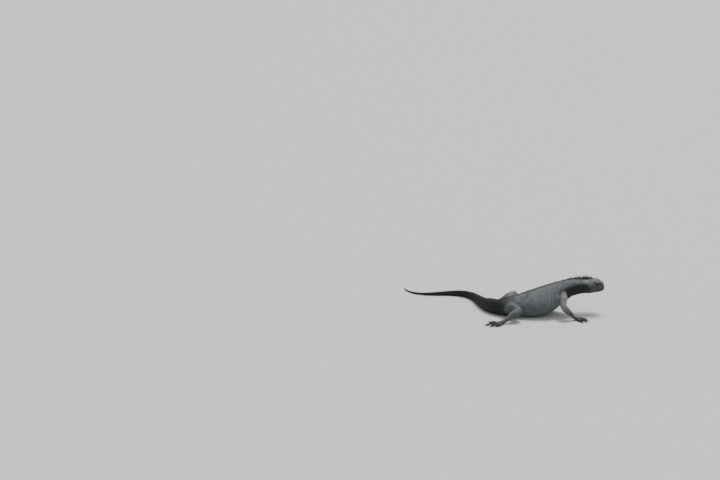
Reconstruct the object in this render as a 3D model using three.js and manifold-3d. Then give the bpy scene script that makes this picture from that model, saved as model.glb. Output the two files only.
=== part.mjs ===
// Marine iguana: a still, life-size model of the whole animal, lying on its belly with the chest
// raised on the forelegs, the head level and the long tail swung out to its left.
// Millimetres, +Z up, +X towards the snout, +Y to the animal's left, the floor at z = 0.
// The body is measured by a distance s along the spine: s = 0 at the hips, positive towards the
// snout and negative along the tail.
import * as THREE from "three";
import { mergeVertices } from "three/addons/utils/BufferGeometryUtils.js";
import Module from "manifold-3d";

const wasm = await Module();
wasm.setup();
const { Vector3, MathUtils } = THREE;
const radians = MathUtils.degToRad;

// Driving dimensions
const GAP = 0.3; // space kept between two neighbouring pieces
const SNOUT = 385; // s of the snout's tip
const TAIL_TIP = -580; // s of the tail's tip
const TAIL_ROOT = -25; // s where the tail leaves the trunk
const NECK_BACK = 238; // s where the neck leaves the trunk
const HEAD_BACK = 302; // s where the head leaves the neck
const MOUTH_HEIGHT = 95; // height of the mouth line above the floor
const TAIL_CUTS = [-130, -245, -365, -475]; // s where the tail is divided into lengths
const BODY_SIDES = 28; // points round the head, neck and trunk
const TAIL_SIDES = [24, 16, 16, 16, 16]; // points round each length of the tail

// The spine's section at each s: top and bottom height, half width, height of the widest place as a
// share of the section, and how square the upper and lower halves are (2 is an ellipse).
const BODY = [
  [-580, 2.6, 0.2, 0.9, 0.5, 2, 2],
  [-520, 6.5, 0, 2.2, 0.46, 1.8, 2],
  [-440, 11.5, 0, 3.4, 0.45, 1.7, 2.1],
  [-360, 18, 0, 4.7, 0.45, 1.6, 2.1],
  [-280, 26, 0, 6.3, 0.45, 1.6, 2.1],
  [-200, 35, 0, 8.8, 0.45, 1.6, 2.2],
  [-130, 44, 0, 12.5, 0.44, 1.7, 2.3],
  [-70, 51, 0, 19, 0.43, 1.8, 2.3],
  [-25, 58, 0, 29, 0.42, 1.9, 2.3],
  [10, 66, -3, 43, 0.41, 1.95, 2.4],
  [60, 79, -4, 62, 0.4, 2, 2.4],
  [105, 93, -4, 73, 0.39, 2, 2.3],
  [145, 105.5, 1, 72, 0.4, 2, 2.2],
  [182, 117.5, 15, 61, 0.42, 2, 2.1],
  [216, 126, 38, 48, 0.45, 2, 2.1],
  [248, 132, 60.5, 36, 0.48, 2.1, 2.1],
  [275, 133, 71.5, 31, 0.5, 2.2, 2.1],
  [302, 131.5, 76.2, 29.5, 0.47, 2.3, 2.1],
];

// The head's section by the distance behind the snout's tip: top, bottom (from the mouth line up),
// half width, share, squareness above and below.
const HEAD = [
  [0, 11, 1, 6, 0.42, 2.2, 2.2],
  [0.8, 15.5, -4, 11, 0.42, 2.2, 2.2],
  [2.5, 19.5, -7.5, 15, 0.4, 2.3, 2.2],
  [6, 24, -10.5, 18.5, 0.38, 2.4, 2.2],
  [11, 28.5, -12.5, 20.5, 0.37, 2.5, 2.2],
  [18, 32.5, -14, 22, 0.36, 2.5, 2.2],
  [26, 35, -15, 24, 0.36, 2.5, 2.2],
  [36, 36.6, -16, 26.5, 0.37, 2.5, 2.2],
  [48, 36.6, -17, 29, 0.38, 2.4, 2.1],
  [60, 36.2, -18, 30.5, 0.4, 2.3, 2.1],
  [72, 36, -18.3, 29.8, 0.44, 2.3, 2.1],
  [83, 36.2, -18.3, 29, 0.47, 2.3, 2.1],
];

// Swellings (+) and hollows (-) of the face: distance behind the tip, height over the mouth line,
// their two reaches, and how far the skin is pushed out.
const FACE = [
  [36, 33, 11, 5, 2.6], // brow
  [33, 22, 9, 7.5, -2.8], // eye socket
  [20, 17, 8, 6, -1.6], // hollow before the eye
  [8, 21, 5, 4.5, 1.8], // nostril mound
  [22, 3.2, 20, 2.6, 1.5], // upper lip
  [22, -4.4, 18, 2.6, 0.9], // lower lip
  [57, -5, 12, 10, 2.6], // jowl
  [62, 24, 9, 8, -1.2], // temple
];

// How far the tail's direction has turned to the animal's left, in degrees, by its length from s = 0.
const TAIL_TURN = [
  [0, 8],
  [35, 36],
  [75, 64],
  [130, 80],
  [190, 82],
  [245, 66],
  [290, 34],
  [345, 10],
  [405, 6],
  [455, 26],
  [510, 60],
  [580, 96],
];

// The mouth line: distance behind the tip and height over MOUTH_HEIGHT, up to the corner of the mouth.
const MOUTH = [
  [-2, 0.4],
  [6, -0.6],
  [16, -1.6],
  [28, -1],
  [38, 1.4],
  [46, 4],
];
const MOUTH_SLIT = 0.7; // how open the closed mouth's line is
const JAW_HINGE = [57, -30]; // where the cut behind the jaw leaves the throat

const EYE = { back: 33, height: 22, side: 16.2, radius: 7.6 };
const LID = { radius: 7.1, thickness: 1.7, squash: 0.78, proud: 0.2 };
const NOSTRIL = { back: 8.5, height: 22, radius: 2, rim: 0.9, deep: 3.2 };
const EAR = { back: 68, height: 5, long: 5.2, wide: 3.2, deep: 2.4 };

// The crest by s: a spine's height, the space from one to the next, and half its length at the root.
// It is longest on the nape and low on the back and tail.
const CREST = [
  [-562, 1.2, 9.6, 3.6],
  [-440, 2.8, 9.6, 3.6],
  [-250, 4.2, 9.6, 3.6],
  [-60, 4.6, 9.6, 3.8],
  [60, 5, 9.6, 3.9],
  [195, 6, 9.6, 3.9],
  [240, 8.5, 7.6, 3.5],
  [275, 13, 7.4, 3.4],
  [308, 18, 7.4, 3.4],
  [324, 16, 7.4, 3.4],
  [341, 10, 7.4, 3.4],
];
const SPINE = { wide: 1.5, root: 3.5, lean: 0.32 }; // half width, depth sunk, lean back for each rise

// Tubercles of the head: rows behind the tip, and in each row the cones on it, half their spread in
// degrees round the head, and their height. Every second row is shifted by half a space.
const TUBERCLE = { first: 7, step: 7.2, rows: 10, half: 3.5, root: 1.6, lean: 0.15 };
const TUBERCLE_ROWS = [
  { upTo: 14, spaces: 3, spread: 44, tall: 3.3 },
  { upTo: 46, spaces: 4, spread: 56, tall: 3.3 },
  { upTo: 50, spaces: 4, spread: 56, tall: 2.4 },
  { upTo: 83, spaces: 5, spread: 56, tall: 2.4 },
];
const CREST_FRONT = 43; // behind this distance the middle line is left to the crest

// Small helpers

// Reads a table at s: a cubic through its rows, with the slope at each row taken from its neighbours.
function along(table, s) {
  const last = table.length - 1;
  let i = 0;
  while (i < last - 1 && s > table[i + 1][0]) i++;
  const span = table[i + 1][0] - table[i][0];
  const t = MathUtils.clamp((s - table[i][0]) / span, 0, 1);
  const slope = (k, column) => {
    const before = table[Math.max(k - 1, 0)];
    const after = table[Math.min(k + 1, last)];
    return (after[column] - before[column]) / (after[0] - before[0]);
  };
  const values = [];
  for (let column = 1; column < table[0].length; column++) {
    const from = table[i][column];
    const to = table[i + 1][column];
    const leave = slope(i, column) * span;
    const arrive = slope(i + 1, column) * span;
    const bend = (1 - t) ** 2 * t * leave - (1 - t) * t ** 2 * arrive;
    values.push(from + (to - from) * t * t * (3 - 2 * t) + bend);
  }
  return values;
}

// A number between 0 and 1 that is always the same for the same n.
const draw = (n) => {
  const wave = Math.sin(n * 127.1 + 11.7) * 43758.5453;
  return wave - Math.floor(wave);
};

// A closed solid from a three.js geometry.
function solidOf(geometry) {
  const bare = geometry.index ? geometry.toNonIndexed() : geometry.clone();
  bare.deleteAttribute("normal");
  bare.deleteAttribute("uv");
  const merged = mergeVertices(bare, 1e-4);
  return new wasm.Manifold(
    new wasm.Mesh({
      numProp: 3,
      vertProperties: new Float32Array(merged.attributes.position.array),
      triVerts: new Uint32Array(merged.index.array),
    }),
  );
}

// A closed geometry from rings of points, each ring as long as the next, with a fan at each end.
function loft(rings) {
  const sides = rings[0].length;
  const points = rings.flat();
  const faces = [];
  for (let r = 0; r < rings.length - 1; r++)
    for (let k = 0; k < sides; k++) {
      const a = r * sides + k;
      const b = r * sides + ((k + 1) % sides);
      faces.push(a, b, b + sides, a, b + sides, a + sides);
    }
  for (const [start, turned] of [
    [0, true],
    [(rings.length - 1) * sides, false],
  ]) {
    const middle = new Vector3();
    for (let k = 0; k < sides; k++) middle.addScaledVector(points[start + k], 1 / sides);
    points.push(middle);
    for (let k = 0; k < sides; k++) {
      const a = start + k;
      const b = start + ((k + 1) % sides);
      faces.push(...(turned ? [b, a, points.length - 1] : [a, b, points.length - 1]));
    }
  }
  const geometry = new THREE.BufferGeometry().setFromPoints(points);
  geometry.setIndex(faces);
  return geometry;
}

// A solid from rings, turned the right way out whichever way they run.
function ringSolid(rings) {
  const made = solidOf(loft(rings));
  return made.volume() > 0 ? made : solidOf(loft(rings.map((ring) => [...ring].reverse())));
}

const largest = (solid) => solid.decompose().sort((a, b) => b.volume() - a.volume())[0];
const union = (solids) => solids.reduce((all, one) => all.add(one));
const aboveFloor = (solid) => solid.trimByPlane([0, 0, 1], 0);

// Spine and skin

// Points of the tail's path every millimetre, from the hips back.
const tailPath = [new Vector3(0, 0, 0)];
for (let length = 1; length <= -TAIL_TIP; length++) {
  const turn = radians(along(TAIL_TURN, length - 0.5)[0]);
  tailPath.push(tailPath.at(-1).clone().add(new Vector3(-Math.cos(turn), Math.sin(turn), 0)));
}

// Where the spine is at s, and the level direction to the animal's left there.
function spine(s) {
  if (s >= 0) return { at: new Vector3(s, 0, 0), left: new Vector3(0, 1, 0) };
  const i = Math.min(Math.floor(-s), tailPath.length - 2);
  const turn = radians(along(TAIL_TURN, -s)[0]);
  return {
    at: tailPath[i].clone().lerp(tailPath[i + 1], -s - i),
    left: new Vector3(Math.sin(turn), Math.cos(turn), 0),
  };
}

// The section's sizes at s, with heights above the floor.
function section(s) {
  if (s < HEAD_BACK) return along(BODY, s);
  const [top, bottom, ...rest] = along(HEAD, SNOUT - s);
  return [top + MOUTH_HEIGHT, bottom + MOUTH_HEIGHT, ...rest];
}

// The skin's point at s and an angle round the body: 0 left, 90 top, 270 belly. grow pushes it out.
function skin(s, angle, grow = 0) {
  const [top, bottom, half, share, upper, lower] = section(s);
  const middle = bottom + share * (top - bottom);
  const across = Math.cos(angle);
  const up = Math.sin(angle);
  const power = 2 / (up >= 0 ? upper : lower);
  const reach = up >= 0 ? top - middle : middle - bottom;
  const squared = (v) => Math.sign(v) * Math.abs(v) ** power;
  const y = half * squared(across);
  const z = middle + reach * squared(up);
  let push = grow;
  if (s > HEAD_BACK - 20)
    for (const [back, height, longReach, tallReach, swell] of FACE) {
      const behind = (SNOUT - s - back) / longReach;
      const above = (z - MOUTH_HEIGHT - height) / tallReach;
      push += swell * Math.exp(-(behind ** 2) - above ** 2);
    }
  const { at, left } = spine(s);
  return at.addScaledVector(left, y + push * across).setZ(z + push * up);
}

// The skin's outward direction at s and angle, from two short chords across the point.
function skinNormal(s, angle) {
  const step = 1.5;
  const turn = 0.06;
  const ahead = skin(s + step, angle).sub(skin(s - step, angle));
  const round = skin(s, angle + turn).sub(skin(s, angle - turn));
  return round.cross(ahead).normalize();
}

// Ring positions from one s to another, closer where the shape turns faster.
const RINGS = [];
for (let s = TAIL_TIP; s < TAIL_ROOT - 4; s += 15) RINGS.push(s);
for (let s = TAIL_ROOT; s < HEAD_BACK - 4; s += 13) RINGS.push(s);
for (let back = 83; back > 8; back -= back > 48 ? 6 : 4.2) RINGS.push(SNOUT - back);
for (const back of [5.6, 3, 1.3, 0.35, 0]) RINGS.push(SNOUT - back);

// The body between two places on the spine, as one solid.
function bodyLength(from, to, sides, grow = 0) {
  const stations = [from, ...RINGS.filter((s) => s > from + 2 && s < to - 2), to];
  if (to === SNOUT) stations.splice(-1, 0, ...RINGS.filter((s) => s >= SNOUT - 2 && s < SNOUT));
  const ring = (s) =>
    Array.from({ length: sides }, (_, k) => skin(s, radians((360 * (k + 0.5)) / sides), grow));
  return ringSolid(stations.map(ring));
}

// A tube through named places, with the half width and half height at each, round or flat at its end.
function tube(places, sides, { grow = 0, steps = 3, flatEnd = false } = {}) {
  const curve = new THREE.CatmullRomCurve3(places.map(([at]) => at), false, "centripetal");
  const sizes = places.map(([, wide, high], i) => [i, wide, high]);
  const last = places.length - 1;
  const ringAt = (place, shrink, shift) => {
    const ahead = curve.getTangent(place / last);
    const side = new Vector3(0, 0, 1).cross(ahead).normalize();
    const up = ahead.clone().cross(side);
    const [wide, high] = along(sizes, place).map((size) => (size + grow) * shrink);
    const middle = curve.getPoint(place / last).addScaledVector(ahead, shift);
    return Array.from({ length: sides }, (_, k) => {
      const angle = (2 * Math.PI * (k + 0.5)) / sides;
      return middle
        .clone()
        .addScaledVector(side, wide * Math.cos(angle))
        .addScaledVector(up, high * Math.sin(angle));
    });
  };
  // a round end is one smaller ring, set out by most of the end's own size
  const capShrink = Math.cos(radians(55));
  const capReach = ([, wide, high]) => 0.8 * Math.sin(radians(55)) * ((wide + high) / 2 + grow);
  const rings = [ringAt(0, capShrink, -capReach(places[0]))];
  for (let i = 0; i <= last * steps; i++) rings.push(ringAt(i / steps, 1, 0));
  rings.push(flatEnd ? ringAt(last, 1, grow + 0.01) : ringAt(last, capShrink, capReach(places[last])));
  return ringSolid(rings);
}

// A cone standing on the skin, its root sunk in and its tip leaning back by lean.
function coneOn(at, out, back, { long, wide, high, root, lean, sides = 4 }) {
  const cone = new THREE.ConeGeometry(1, high + root, sides, 1).translate(0, (high - root) / 2, 0);
  const place = new THREE.Matrix4().makeBasis(
    back.clone().multiplyScalar(long),
    out.clone().addScaledVector(back, lean),
    back.clone().cross(out).normalize().multiplyScalar(wide),
  );
  cone.applyMatrix4(place.setPosition(at));
  return solidOf(cone);
}

// A three.js geometry set down in the world by its position and its x, y and z directions.
function placed(geometry, at, x, y, z) {
  return solidOf(geometry.applyMatrix4(new THREE.Matrix4().makeBasis(x, y, z).setPosition(at)));
}

// Crest: flat spines along the middle of the back, those between two places on the spine.
function crest(from, to) {
  const spines = [];
  let s = CREST[0][0];
  for (let n = 0; s < CREST.at(-1)[0]; n++) {
    const [height, space, long] = along(CREST, s);
    if (s > from + long + 1 && s < to - long - 1) {
      const top = skin(s, Math.PI / 2);
      const back = skin(s - 2, Math.PI / 2).sub(skin(s + 2, Math.PI / 2)).normalize();
      const out = back.clone().cross(spine(s).left).normalize();
      if (out.z < 0) out.negate();
      const high = height * (0.88 + 0.24 * draw(n));
      spines.push(coneOn(top, out, back, { ...SPINE, long, high }));
    }
    s += space;
  }
  return spines;
}

// Head

// Tubercles: blunt cones in staggered rows over the snout, forehead and back of the head.
function tubercles() {
  const { first, step, rows, half, root, lean } = TUBERCLE;
  const cones = [];
  for (let row = 0; row < rows; row++) {
    const back = first + row * step;
    const { spaces, spread, tall } = TUBERCLE_ROWS.find(({ upTo }) => back < upTo);
    for (let place = (row % 2) / 2; place <= spaces; place++) {
      const turn = spread * ((2 * place) / spaces - 1);
      if (Math.abs(turn) < 3 && back > CREST_FRONT) continue;
      const angle = radians(90 + turn);
      const size = 0.9 + 0.25 * draw(row * 9 + Math.floor(place));
      const [long, wide, high] = [half, half, tall].map((length) => length * size);
      const at = skin(SNOUT - back, angle);
      const out = skinNormal(SNOUT - back, angle);
      cones.push(coneOn(at, out, new Vector3(-1, 0, 0), { long, wide, high, root, lean, sides: 5 }));
    }
  }
  return cones;
}

// The point and directions of a feature on the side of the head: sign is 1 on the left, -1 on the right.
function onCheek(back, height, sign) {
  const s = SNOUT - back;
  let low = radians(-75);
  let high = radians(86);
  while (high - low > 1e-9) {
    const middle = (low + high) / 2;
    if (skin(s, middle).z - MOUTH_HEIGHT < height) low = middle;
    else high = middle;
  }
  const angle = sign > 0 ? low : Math.PI - low;
  const out = skinNormal(s, angle);
  const ahead = new Vector3(1, 0, 0).addScaledVector(out, -out.x).normalize();
  return { at: skin(s, angle), out, ahead, up: out.clone().cross(ahead) };
}

const sides = [
  ["left", 1],
  ["right", -1],
];

const eyeCentre = (sign) => new Vector3(SNOUT - EYE.back, sign * EYE.side, MOUTH_HEIGHT + EYE.height);

// The slit of the closed mouth, which also parts the lower jaw from the head.
function mouthSlit() {
  const pastCheek = 45;
  const line = [];
  for (let back = MOUTH[0][0]; back <= MOUTH.at(-1)[0]; back += 4)
    line.push([SNOUT - back, MOUTH_HEIGHT + along(MOUTH, back)[0]]);
  line.push([SNOUT - JAW_HINGE[0], MOUTH_HEIGHT + JAW_HINGE[1]]);
  const half = MOUTH_SLIT / 2;
  const above = line.map(([x, z], i) => [i === line.length - 1 ? x - half : x, z + half]);
  const corner = above.length - 2;
  above[corner][0] -= half;
  const below = line.map(([x, z], i) => [i === line.length - 1 ? x + half : x, z - half]);
  below[corner][0] += half;
  const outline = [...above, ...below.reverse()].map(([x, z]) => new THREE.Vector2(x, z));
  const shape = new THREE.Shape(outline);
  const slab = new THREE.ExtrudeGeometry(shape, { depth: 2 * pastCheek, bevelEnabled: false });
  return solidOf(slab.translate(0, 0, -pastCheek).rotateX(Math.PI / 2));
}

// The head and the lower jaw, with lids, nostrils, ears, tubercles and the front of the crest.
function headAndJaw() {
  let head = union([
    bodyLength(HEAD_BACK + GAP / 2, SNOUT, BODY_SIDES),
    ...tubercles(),
    ...crest(HEAD_BACK, SNOUT),
  ]);
  for (const [, sign] of sides) {
    const eye = eyeCentre(sign);
    const socket = onCheek(EYE.back, EYE.height, sign);
    const { ahead, up, out } = socket;
    const lids = new THREE.TorusGeometry(LID.radius, LID.thickness, 6, 18).scale(1, LID.squash, 1);
    head = head.add(placed(lids, socket.at.addScaledVector(out, LID.proud), ahead, up, out));
    const ball = new THREE.SphereGeometry(EYE.radius + GAP, 14, 10).translate(...eye.toArray());
    head = head.subtract(solidOf(ball));
    const nose = onCheek(NOSTRIL.back, NOSTRIL.height, sign);
    const rim = new THREE.TorusGeometry(NOSTRIL.radius + NOSTRIL.rim, NOSTRIL.rim, 5, 10);
    head = head.add(placed(rim, nose.at, nose.ahead, nose.up, nose.out));
    const pit = new THREE.SphereGeometry(1, 8, 6);
    pit.scale(NOSTRIL.radius, NOSTRIL.radius, NOSTRIL.deep);
    head = head.subtract(placed(pit, nose.at, nose.ahead, nose.up, nose.out));
    const ear = onCheek(EAR.back, EAR.height, sign);
    const cup = new THREE.SphereGeometry(1, 10, 8).scale(EAR.wide, EAR.long, EAR.deep);
    head = head.subtract(placed(cup, ear.at, ear.ahead, ear.up, ear.out));
  }
  const pieces = head.subtract(mouthSlit()).decompose();
  pieces.sort((a, b) => b.volume() - a.volume());
  return { head: pieces[0], lower_jaw: pieces[1] };
}

// Legs. Places are distances ahead of the hips, outwards from the spine and above the floor, each
// with the half width and half height of the leg there. The left and right legs lie differently.
const FORE = {
  right: {
    upper: [
      [[216, 26, 84], 17, 19],
      [[210, 56, 73], 14, 16],
      [[200, 86, 54], 11.5, 12],
    ],
    lower: [
      [[199, 86, 55], 11, 11.5],
      [[212, 91, 40], 11.5, 12],
      [[229, 96, 24], 8.5, 9],
      [[240, 98, 14], 8, 7],
    ],
    aim: -14,
  },
  left: {
    upper: [
      [[216, 26, 84], 17, 19],
      [[205, 57, 71], 14, 16],
      [[190, 87, 50], 11.5, 12],
    ],
    lower: [
      [[189, 87, 51], 11, 11.5],
      [[201, 93, 38], 11.5, 12],
      [[217, 100, 23], 8.5, 9],
      [[228, 103, 14], 8, 7],
    ],
    aim: -26,
  },
  palm: [
    [[-1, 0, 13], 8, 7],
    [[9, 0, 8], 11, 6.4],
    [[21, 0, 6], 13, 5],
  ],
  knuckles: 16,
  // each digit: turn from the hand's aim (inwards is positive), place across the hand, length, thickness
  digits: [
    [38, 9, 19, 4],
    [16, 5.5, 27, 4.2],
    [-3, 0.5, 33, 4.3],
    [-22, -5, 33, 4.2],
    [-52, -9, 23, 3.9],
  ],
};
const HIND = {
  right: {
    upper: [
      [[-4, 18, 36], 21, 23],
      [[14, 50, 40], 19, 21],
      [[31, 82, 39], 14, 15],
    ],
    lower: [
      [[32, 84, 39], 13, 14],
      [[12, 95, 32], 13.5, 14],
      [[-12, 104, 20], 9, 9.5],
      [[-26, 108, 13], 8.5, 7.5],
    ],
    aim: -158,
  },
  left: {
    upper: [
      [[2, 18, 38], 21, 23],
      [[30, 54, 47], 19, 21],
      [[58, 92, 51], 14, 15],
    ],
    lower: [
      [[59, 94, 51], 13, 14],
      [[40, 107, 38], 13.5, 14],
      [[18, 119, 22], 9, 9.5],
      [[5, 127, 13], 8.5, 7.5],
    ],
    aim: -112,
  },
  palm: [
    [[-1, 0, 11], 8.5, 7.5],
    [[13, 0, 8], 10.5, 6.5],
    [[31, 0, 6], 12.5, 5.2],
  ],
  knuckles: 25,
  digits: [
    [34, 9, 18, 4.2],
    [19, 6.5, 31, 4.4],
    [5, 2, 44, 4.6],
    [-9, -3.5, 54, 4.5],
    [-44, -9, 33, 4.1],
  ],
};
const CLAW = { length: 12.5, wide: 2, high: 2.7, inside: 2 };
const KNUCKLE = 2.6; // how high a digit arches at its middle joint

// The space that the trunk, neck and root of the tail take, which the legs stay clear of.
const trunkSpace = bodyLength(TAIL_CUTS[1], HEAD_BACK + 20, BODY_SIDES, GAP);

// One leg: the upper and lower limb, the foot with its digits, and the claws.
function leg(spec, name, sign) {
  const { upper: upperPlaces, lower: lowerPlaces, aim } = spec[name];
  const world = ([x, y, z]) => new Vector3(x, sign * y, z);
  const places = (rows) => rows.map(([at, wide, high]) => [world(at), wide, high]);
  const upper = (grow) => tube(places(upperPlaces), 14, { grow, steps: 2 });
  const lower = (grow) => tube(places(lowerPlaces), 12, { grow, steps: 2 });
  const towards = (turn) => new Vector3(Math.cos(radians(turn)), sign * Math.sin(radians(turn)), 0);
  const heading = towards(-aim);
  const inwards = towards(-aim - 90);
  const [wristAt] = lowerPlaces.at(-1);
  const wrist = world(wristAt).setZ(0);
  const onFoot = (ahead, across, height) =>
    wrist.clone().addScaledVector(heading, ahead).addScaledVector(inwards, across).setZ(height);
  const palmPlaces = spec.palm.map(([at, wide, high]) => [onFoot(...at), wide, high]);
  const palm = (grow) => tube(palmPlaces, 12, { grow, steps: 1 });
  const digits = [];
  const digitSpaces = [];
  const horns = [];
  for (const [turn, across, length, thick] of spec.digits) {
    const lie = towards(-aim - turn);
    const root = onFoot(spec.knuckles, across, 0);
    const at = (share, height) => root.clone().addScaledVector(lie, length * share).setZ(height);
    const rest = thick - 0.5;
    const stations = [
      [at(0, rest + 1.2), thick, thick],
      [at(0.5, rest + KNUCKLE), thick * 0.92, thick * 0.95],
      [at(0.85, rest + 0.6), thick * 0.82, thick * 0.86],
      [at(1, rest - 0.4), thick * 0.66, thick * 0.78],
    ];
    const digit = (grow) => tube(stations, 8, { grow, steps: 1, flatEnd: true });
    digits.push(digit(0));
    digitSpaces.push(digit(GAP));
    horns.push(claw(at(1, rest - 0.4), lie));
  }
  const foot = union([palm(0), ...digits]).subtract(lower(GAP)).subtract(trunkSpace);
  const reserved = union([palm(GAP), ...digitSpaces]);
  return {
    upper: largest(aboveFloor(upper(0).subtract(trunkSpace))),
    lower: largest(aboveFloor(lower(0).subtract(upper(GAP)).subtract(trunkSpace))),
    foot: largest(aboveFloor(foot)),
    claws: horns.map((horn) => largest(horn.subtract(reserved))),
  };
}

// A claw: a curved, tapering horn that starts inside its digit's end and bends to the floor.
function claw(end, heading) {
  const side = new Vector3(0, 0, 1).cross(heading);
  const rings = [0, 0.36, 0.7, 1].map((share) => {
    const dip = radians(8 + 46 * share);
    const ahead = CLAW.length * Math.sin(1.25 * share) - CLAW.inside;
    const drop = 1.9 * share ** 1.6;
    const size = share === 1 ? 0.12 : 1 - 0.78 * share;
    const at = end.clone().addScaledVector(heading, ahead);
    at.z += 0.4 + 1.1 * Math.sin(Math.PI * share) - drop;
    const up = new Vector3(0, 0, 1).multiplyScalar(Math.cos(dip)).addScaledVector(heading, Math.sin(dip));
    return Array.from({ length: 6 }, (_, k) => {
      const angle = (2 * Math.PI * k) / 6;
      return at
        .clone()
        .addScaledVector(side, CLAW.wide * size * Math.cos(angle))
        .addScaledVector(up, CLAW.high * size * Math.sin(angle));
    });
  });
  return aboveFloor(ringSolid(rings));
}

// Materials
const skinGrey = new THREE.MeshStandardMaterial({ color: "#5b6166", roughness: 0.75, metalness: 0 });
const tailBrown = new THREE.MeshStandardMaterial({ color: "#3b3733", roughness: 0.78, metalness: 0 });
const horn = new THREE.MeshStandardMaterial({ color: "#24211f", roughness: 0.4, metalness: 0 });
const eyeball = new THREE.MeshStandardMaterial({ color: "#2a1c12", roughness: 0.1, metalness: 0 });

// The named meshes
const animal = new THREE.Group();

// Adds a solid to the animal as a mesh with that name.
function addNode(name, solid, material) {
  const { numProp, vertProperties, triVerts } = solid.getMesh();
  const flat = new Float32Array((vertProperties.length / numProp) * 3);
  for (let i = 0; i < flat.length / 3; i++)
    flat.set(vertProperties.subarray(i * numProp, i * numProp + 3), i * 3);
  const geometry = new THREE.BufferGeometry();
  geometry.setAttribute("position", new THREE.BufferAttribute(flat, 3));
  geometry.setIndex(new THREE.BufferAttribute(new Uint32Array(triVerts), 1));
  geometry.computeVertexNormals();
  const mesh = new THREE.Mesh(geometry, material);
  mesh.name = name;
  animal.add(mesh);
}

// A length of the neck, trunk or tail with its part of the crest, half the gap short at each end.
function trunkLength(from, to, roundSides) {
  const bare = bodyLength(from + GAP / 2, to - GAP / 2, roundSides);
  return largest(aboveFloor(union([bare, ...crest(from, to)])));
}

const { head, lower_jaw } = headAndJaw();
addNode("head", head, skinGrey);
addNode("lower_jaw", lower_jaw, skinGrey);
addNode("neck", trunkLength(NECK_BACK, HEAD_BACK, BODY_SIDES), skinGrey);
addNode("torso", trunkLength(TAIL_ROOT, NECK_BACK, BODY_SIDES), skinGrey);
const tailEnds = [TAIL_ROOT, ...TAIL_CUTS, TAIL_TIP - GAP / 2];
TAIL_SIDES.forEach((roundSides, n) =>
  addNode("tail_" + (n + 1), trunkLength(tailEnds[n + 1], tailEnds[n], roundSides), tailBrown),
);
for (const [name, sign] of sides) {
  const ball = new THREE.SphereGeometry(EYE.radius, 14, 10).translate(...eyeCentre(sign).toArray());
  addNode("eye_" + name, solidOf(ball), eyeball);
  for (const [spec, upperName, lowerName, footName, digitName] of [
    [FORE, "upper_arm", "forearm", "hand", "finger"],
    [HIND, "thigh", "shank", "foot", "toe"],
  ]) {
    const made = leg(spec, name, sign);
    addNode(upperName + "_" + name, made.upper, skinGrey);
    addNode(lowerName + "_" + name, made.lower, skinGrey);
    addNode(footName + "_" + name, made.foot, skinGrey);
    made.claws.forEach((solid, n) =>
      addNode("claw_" + digitName + (n + 1) + "_" + name, solid, horn),
    );
  }
}

// The part's origin is on the floor under the middle of the whole animal's box.
const box = new THREE.Box3().setFromObject(animal);
animal.position.set(-(box.min.x + box.max.x) / 2, -(box.min.y + box.max.y) / 2, 0);

export default new THREE.Group().add(animal);
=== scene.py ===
from math import cos, pi, radians, sin, tau

import bpy
import numpy as np
from mathutils import Euler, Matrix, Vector
from mathutils.bvhtree import BVHTree
from mathutils.kdtree import KDTree


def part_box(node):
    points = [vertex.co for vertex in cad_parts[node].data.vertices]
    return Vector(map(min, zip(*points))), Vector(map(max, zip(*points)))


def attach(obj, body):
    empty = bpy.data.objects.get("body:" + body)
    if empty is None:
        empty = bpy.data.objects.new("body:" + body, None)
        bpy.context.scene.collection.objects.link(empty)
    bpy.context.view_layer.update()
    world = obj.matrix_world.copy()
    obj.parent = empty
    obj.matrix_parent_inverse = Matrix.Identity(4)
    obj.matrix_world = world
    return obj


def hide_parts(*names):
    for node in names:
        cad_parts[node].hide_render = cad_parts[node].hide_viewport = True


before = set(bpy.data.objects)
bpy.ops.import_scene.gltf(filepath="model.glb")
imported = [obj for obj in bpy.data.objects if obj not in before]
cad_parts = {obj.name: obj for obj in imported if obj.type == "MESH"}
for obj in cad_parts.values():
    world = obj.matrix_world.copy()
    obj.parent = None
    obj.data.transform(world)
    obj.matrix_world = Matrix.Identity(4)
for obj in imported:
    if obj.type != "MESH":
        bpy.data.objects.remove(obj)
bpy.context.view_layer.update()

draw = np.random.default_rng(41)
MM = 0.001

# Driving dimensions, the same as the frame's
SNOUT = 385  # s of the snout's tip
TAIL_TIP = -580
TAIL_ROOT = -25
HEAD_BACK = 302
MOUTH_HEIGHT = 95  # height of the mouth line above the floor
EYE_BACK, EYE_HEIGHT, EYE_SIDE, EYE_RADIUS = 33, 22, 16.2, 7.6

# The spine's section at each s: top and bottom height, half width, height of the widest place as a
# share of the section, and how square the upper and lower halves are (2 is an ellipse).
BODY = [
    [-580, 2.6, 0.2, 0.9, 0.5, 2, 2],
    [-520, 6.5, 0, 2.2, 0.46, 1.8, 2],
    [-440, 11.5, 0, 3.4, 0.45, 1.7, 2.1],
    [-360, 18, 0, 4.7, 0.45, 1.6, 2.1],
    [-280, 26, 0, 6.3, 0.45, 1.6, 2.1],
    [-200, 35, 0, 8.8, 0.45, 1.6, 2.2],
    [-130, 44, 0, 12.5, 0.44, 1.7, 2.3],
    [-70, 51, 0, 19, 0.43, 1.8, 2.3],
    [-25, 58, 0, 29, 0.42, 1.9, 2.3],
    [10, 66, -3, 43, 0.41, 1.95, 2.4],
    [60, 79, -4, 62, 0.4, 2, 2.4],
    [105, 93, -4, 73, 0.39, 2, 2.3],
    [145, 105.5, 1, 72, 0.4, 2, 2.2],
    [182, 117.5, 15, 61, 0.42, 2, 2.1],
    [216, 126, 38, 48, 0.45, 2, 2.1],
    [248, 132, 60.5, 36, 0.48, 2.1, 2.1],
    [275, 133, 71.5, 31, 0.5, 2.2, 2.1],
    [302, 131.5, 76.2, 29.5, 0.47, 2.3, 2.1],
]

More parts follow.
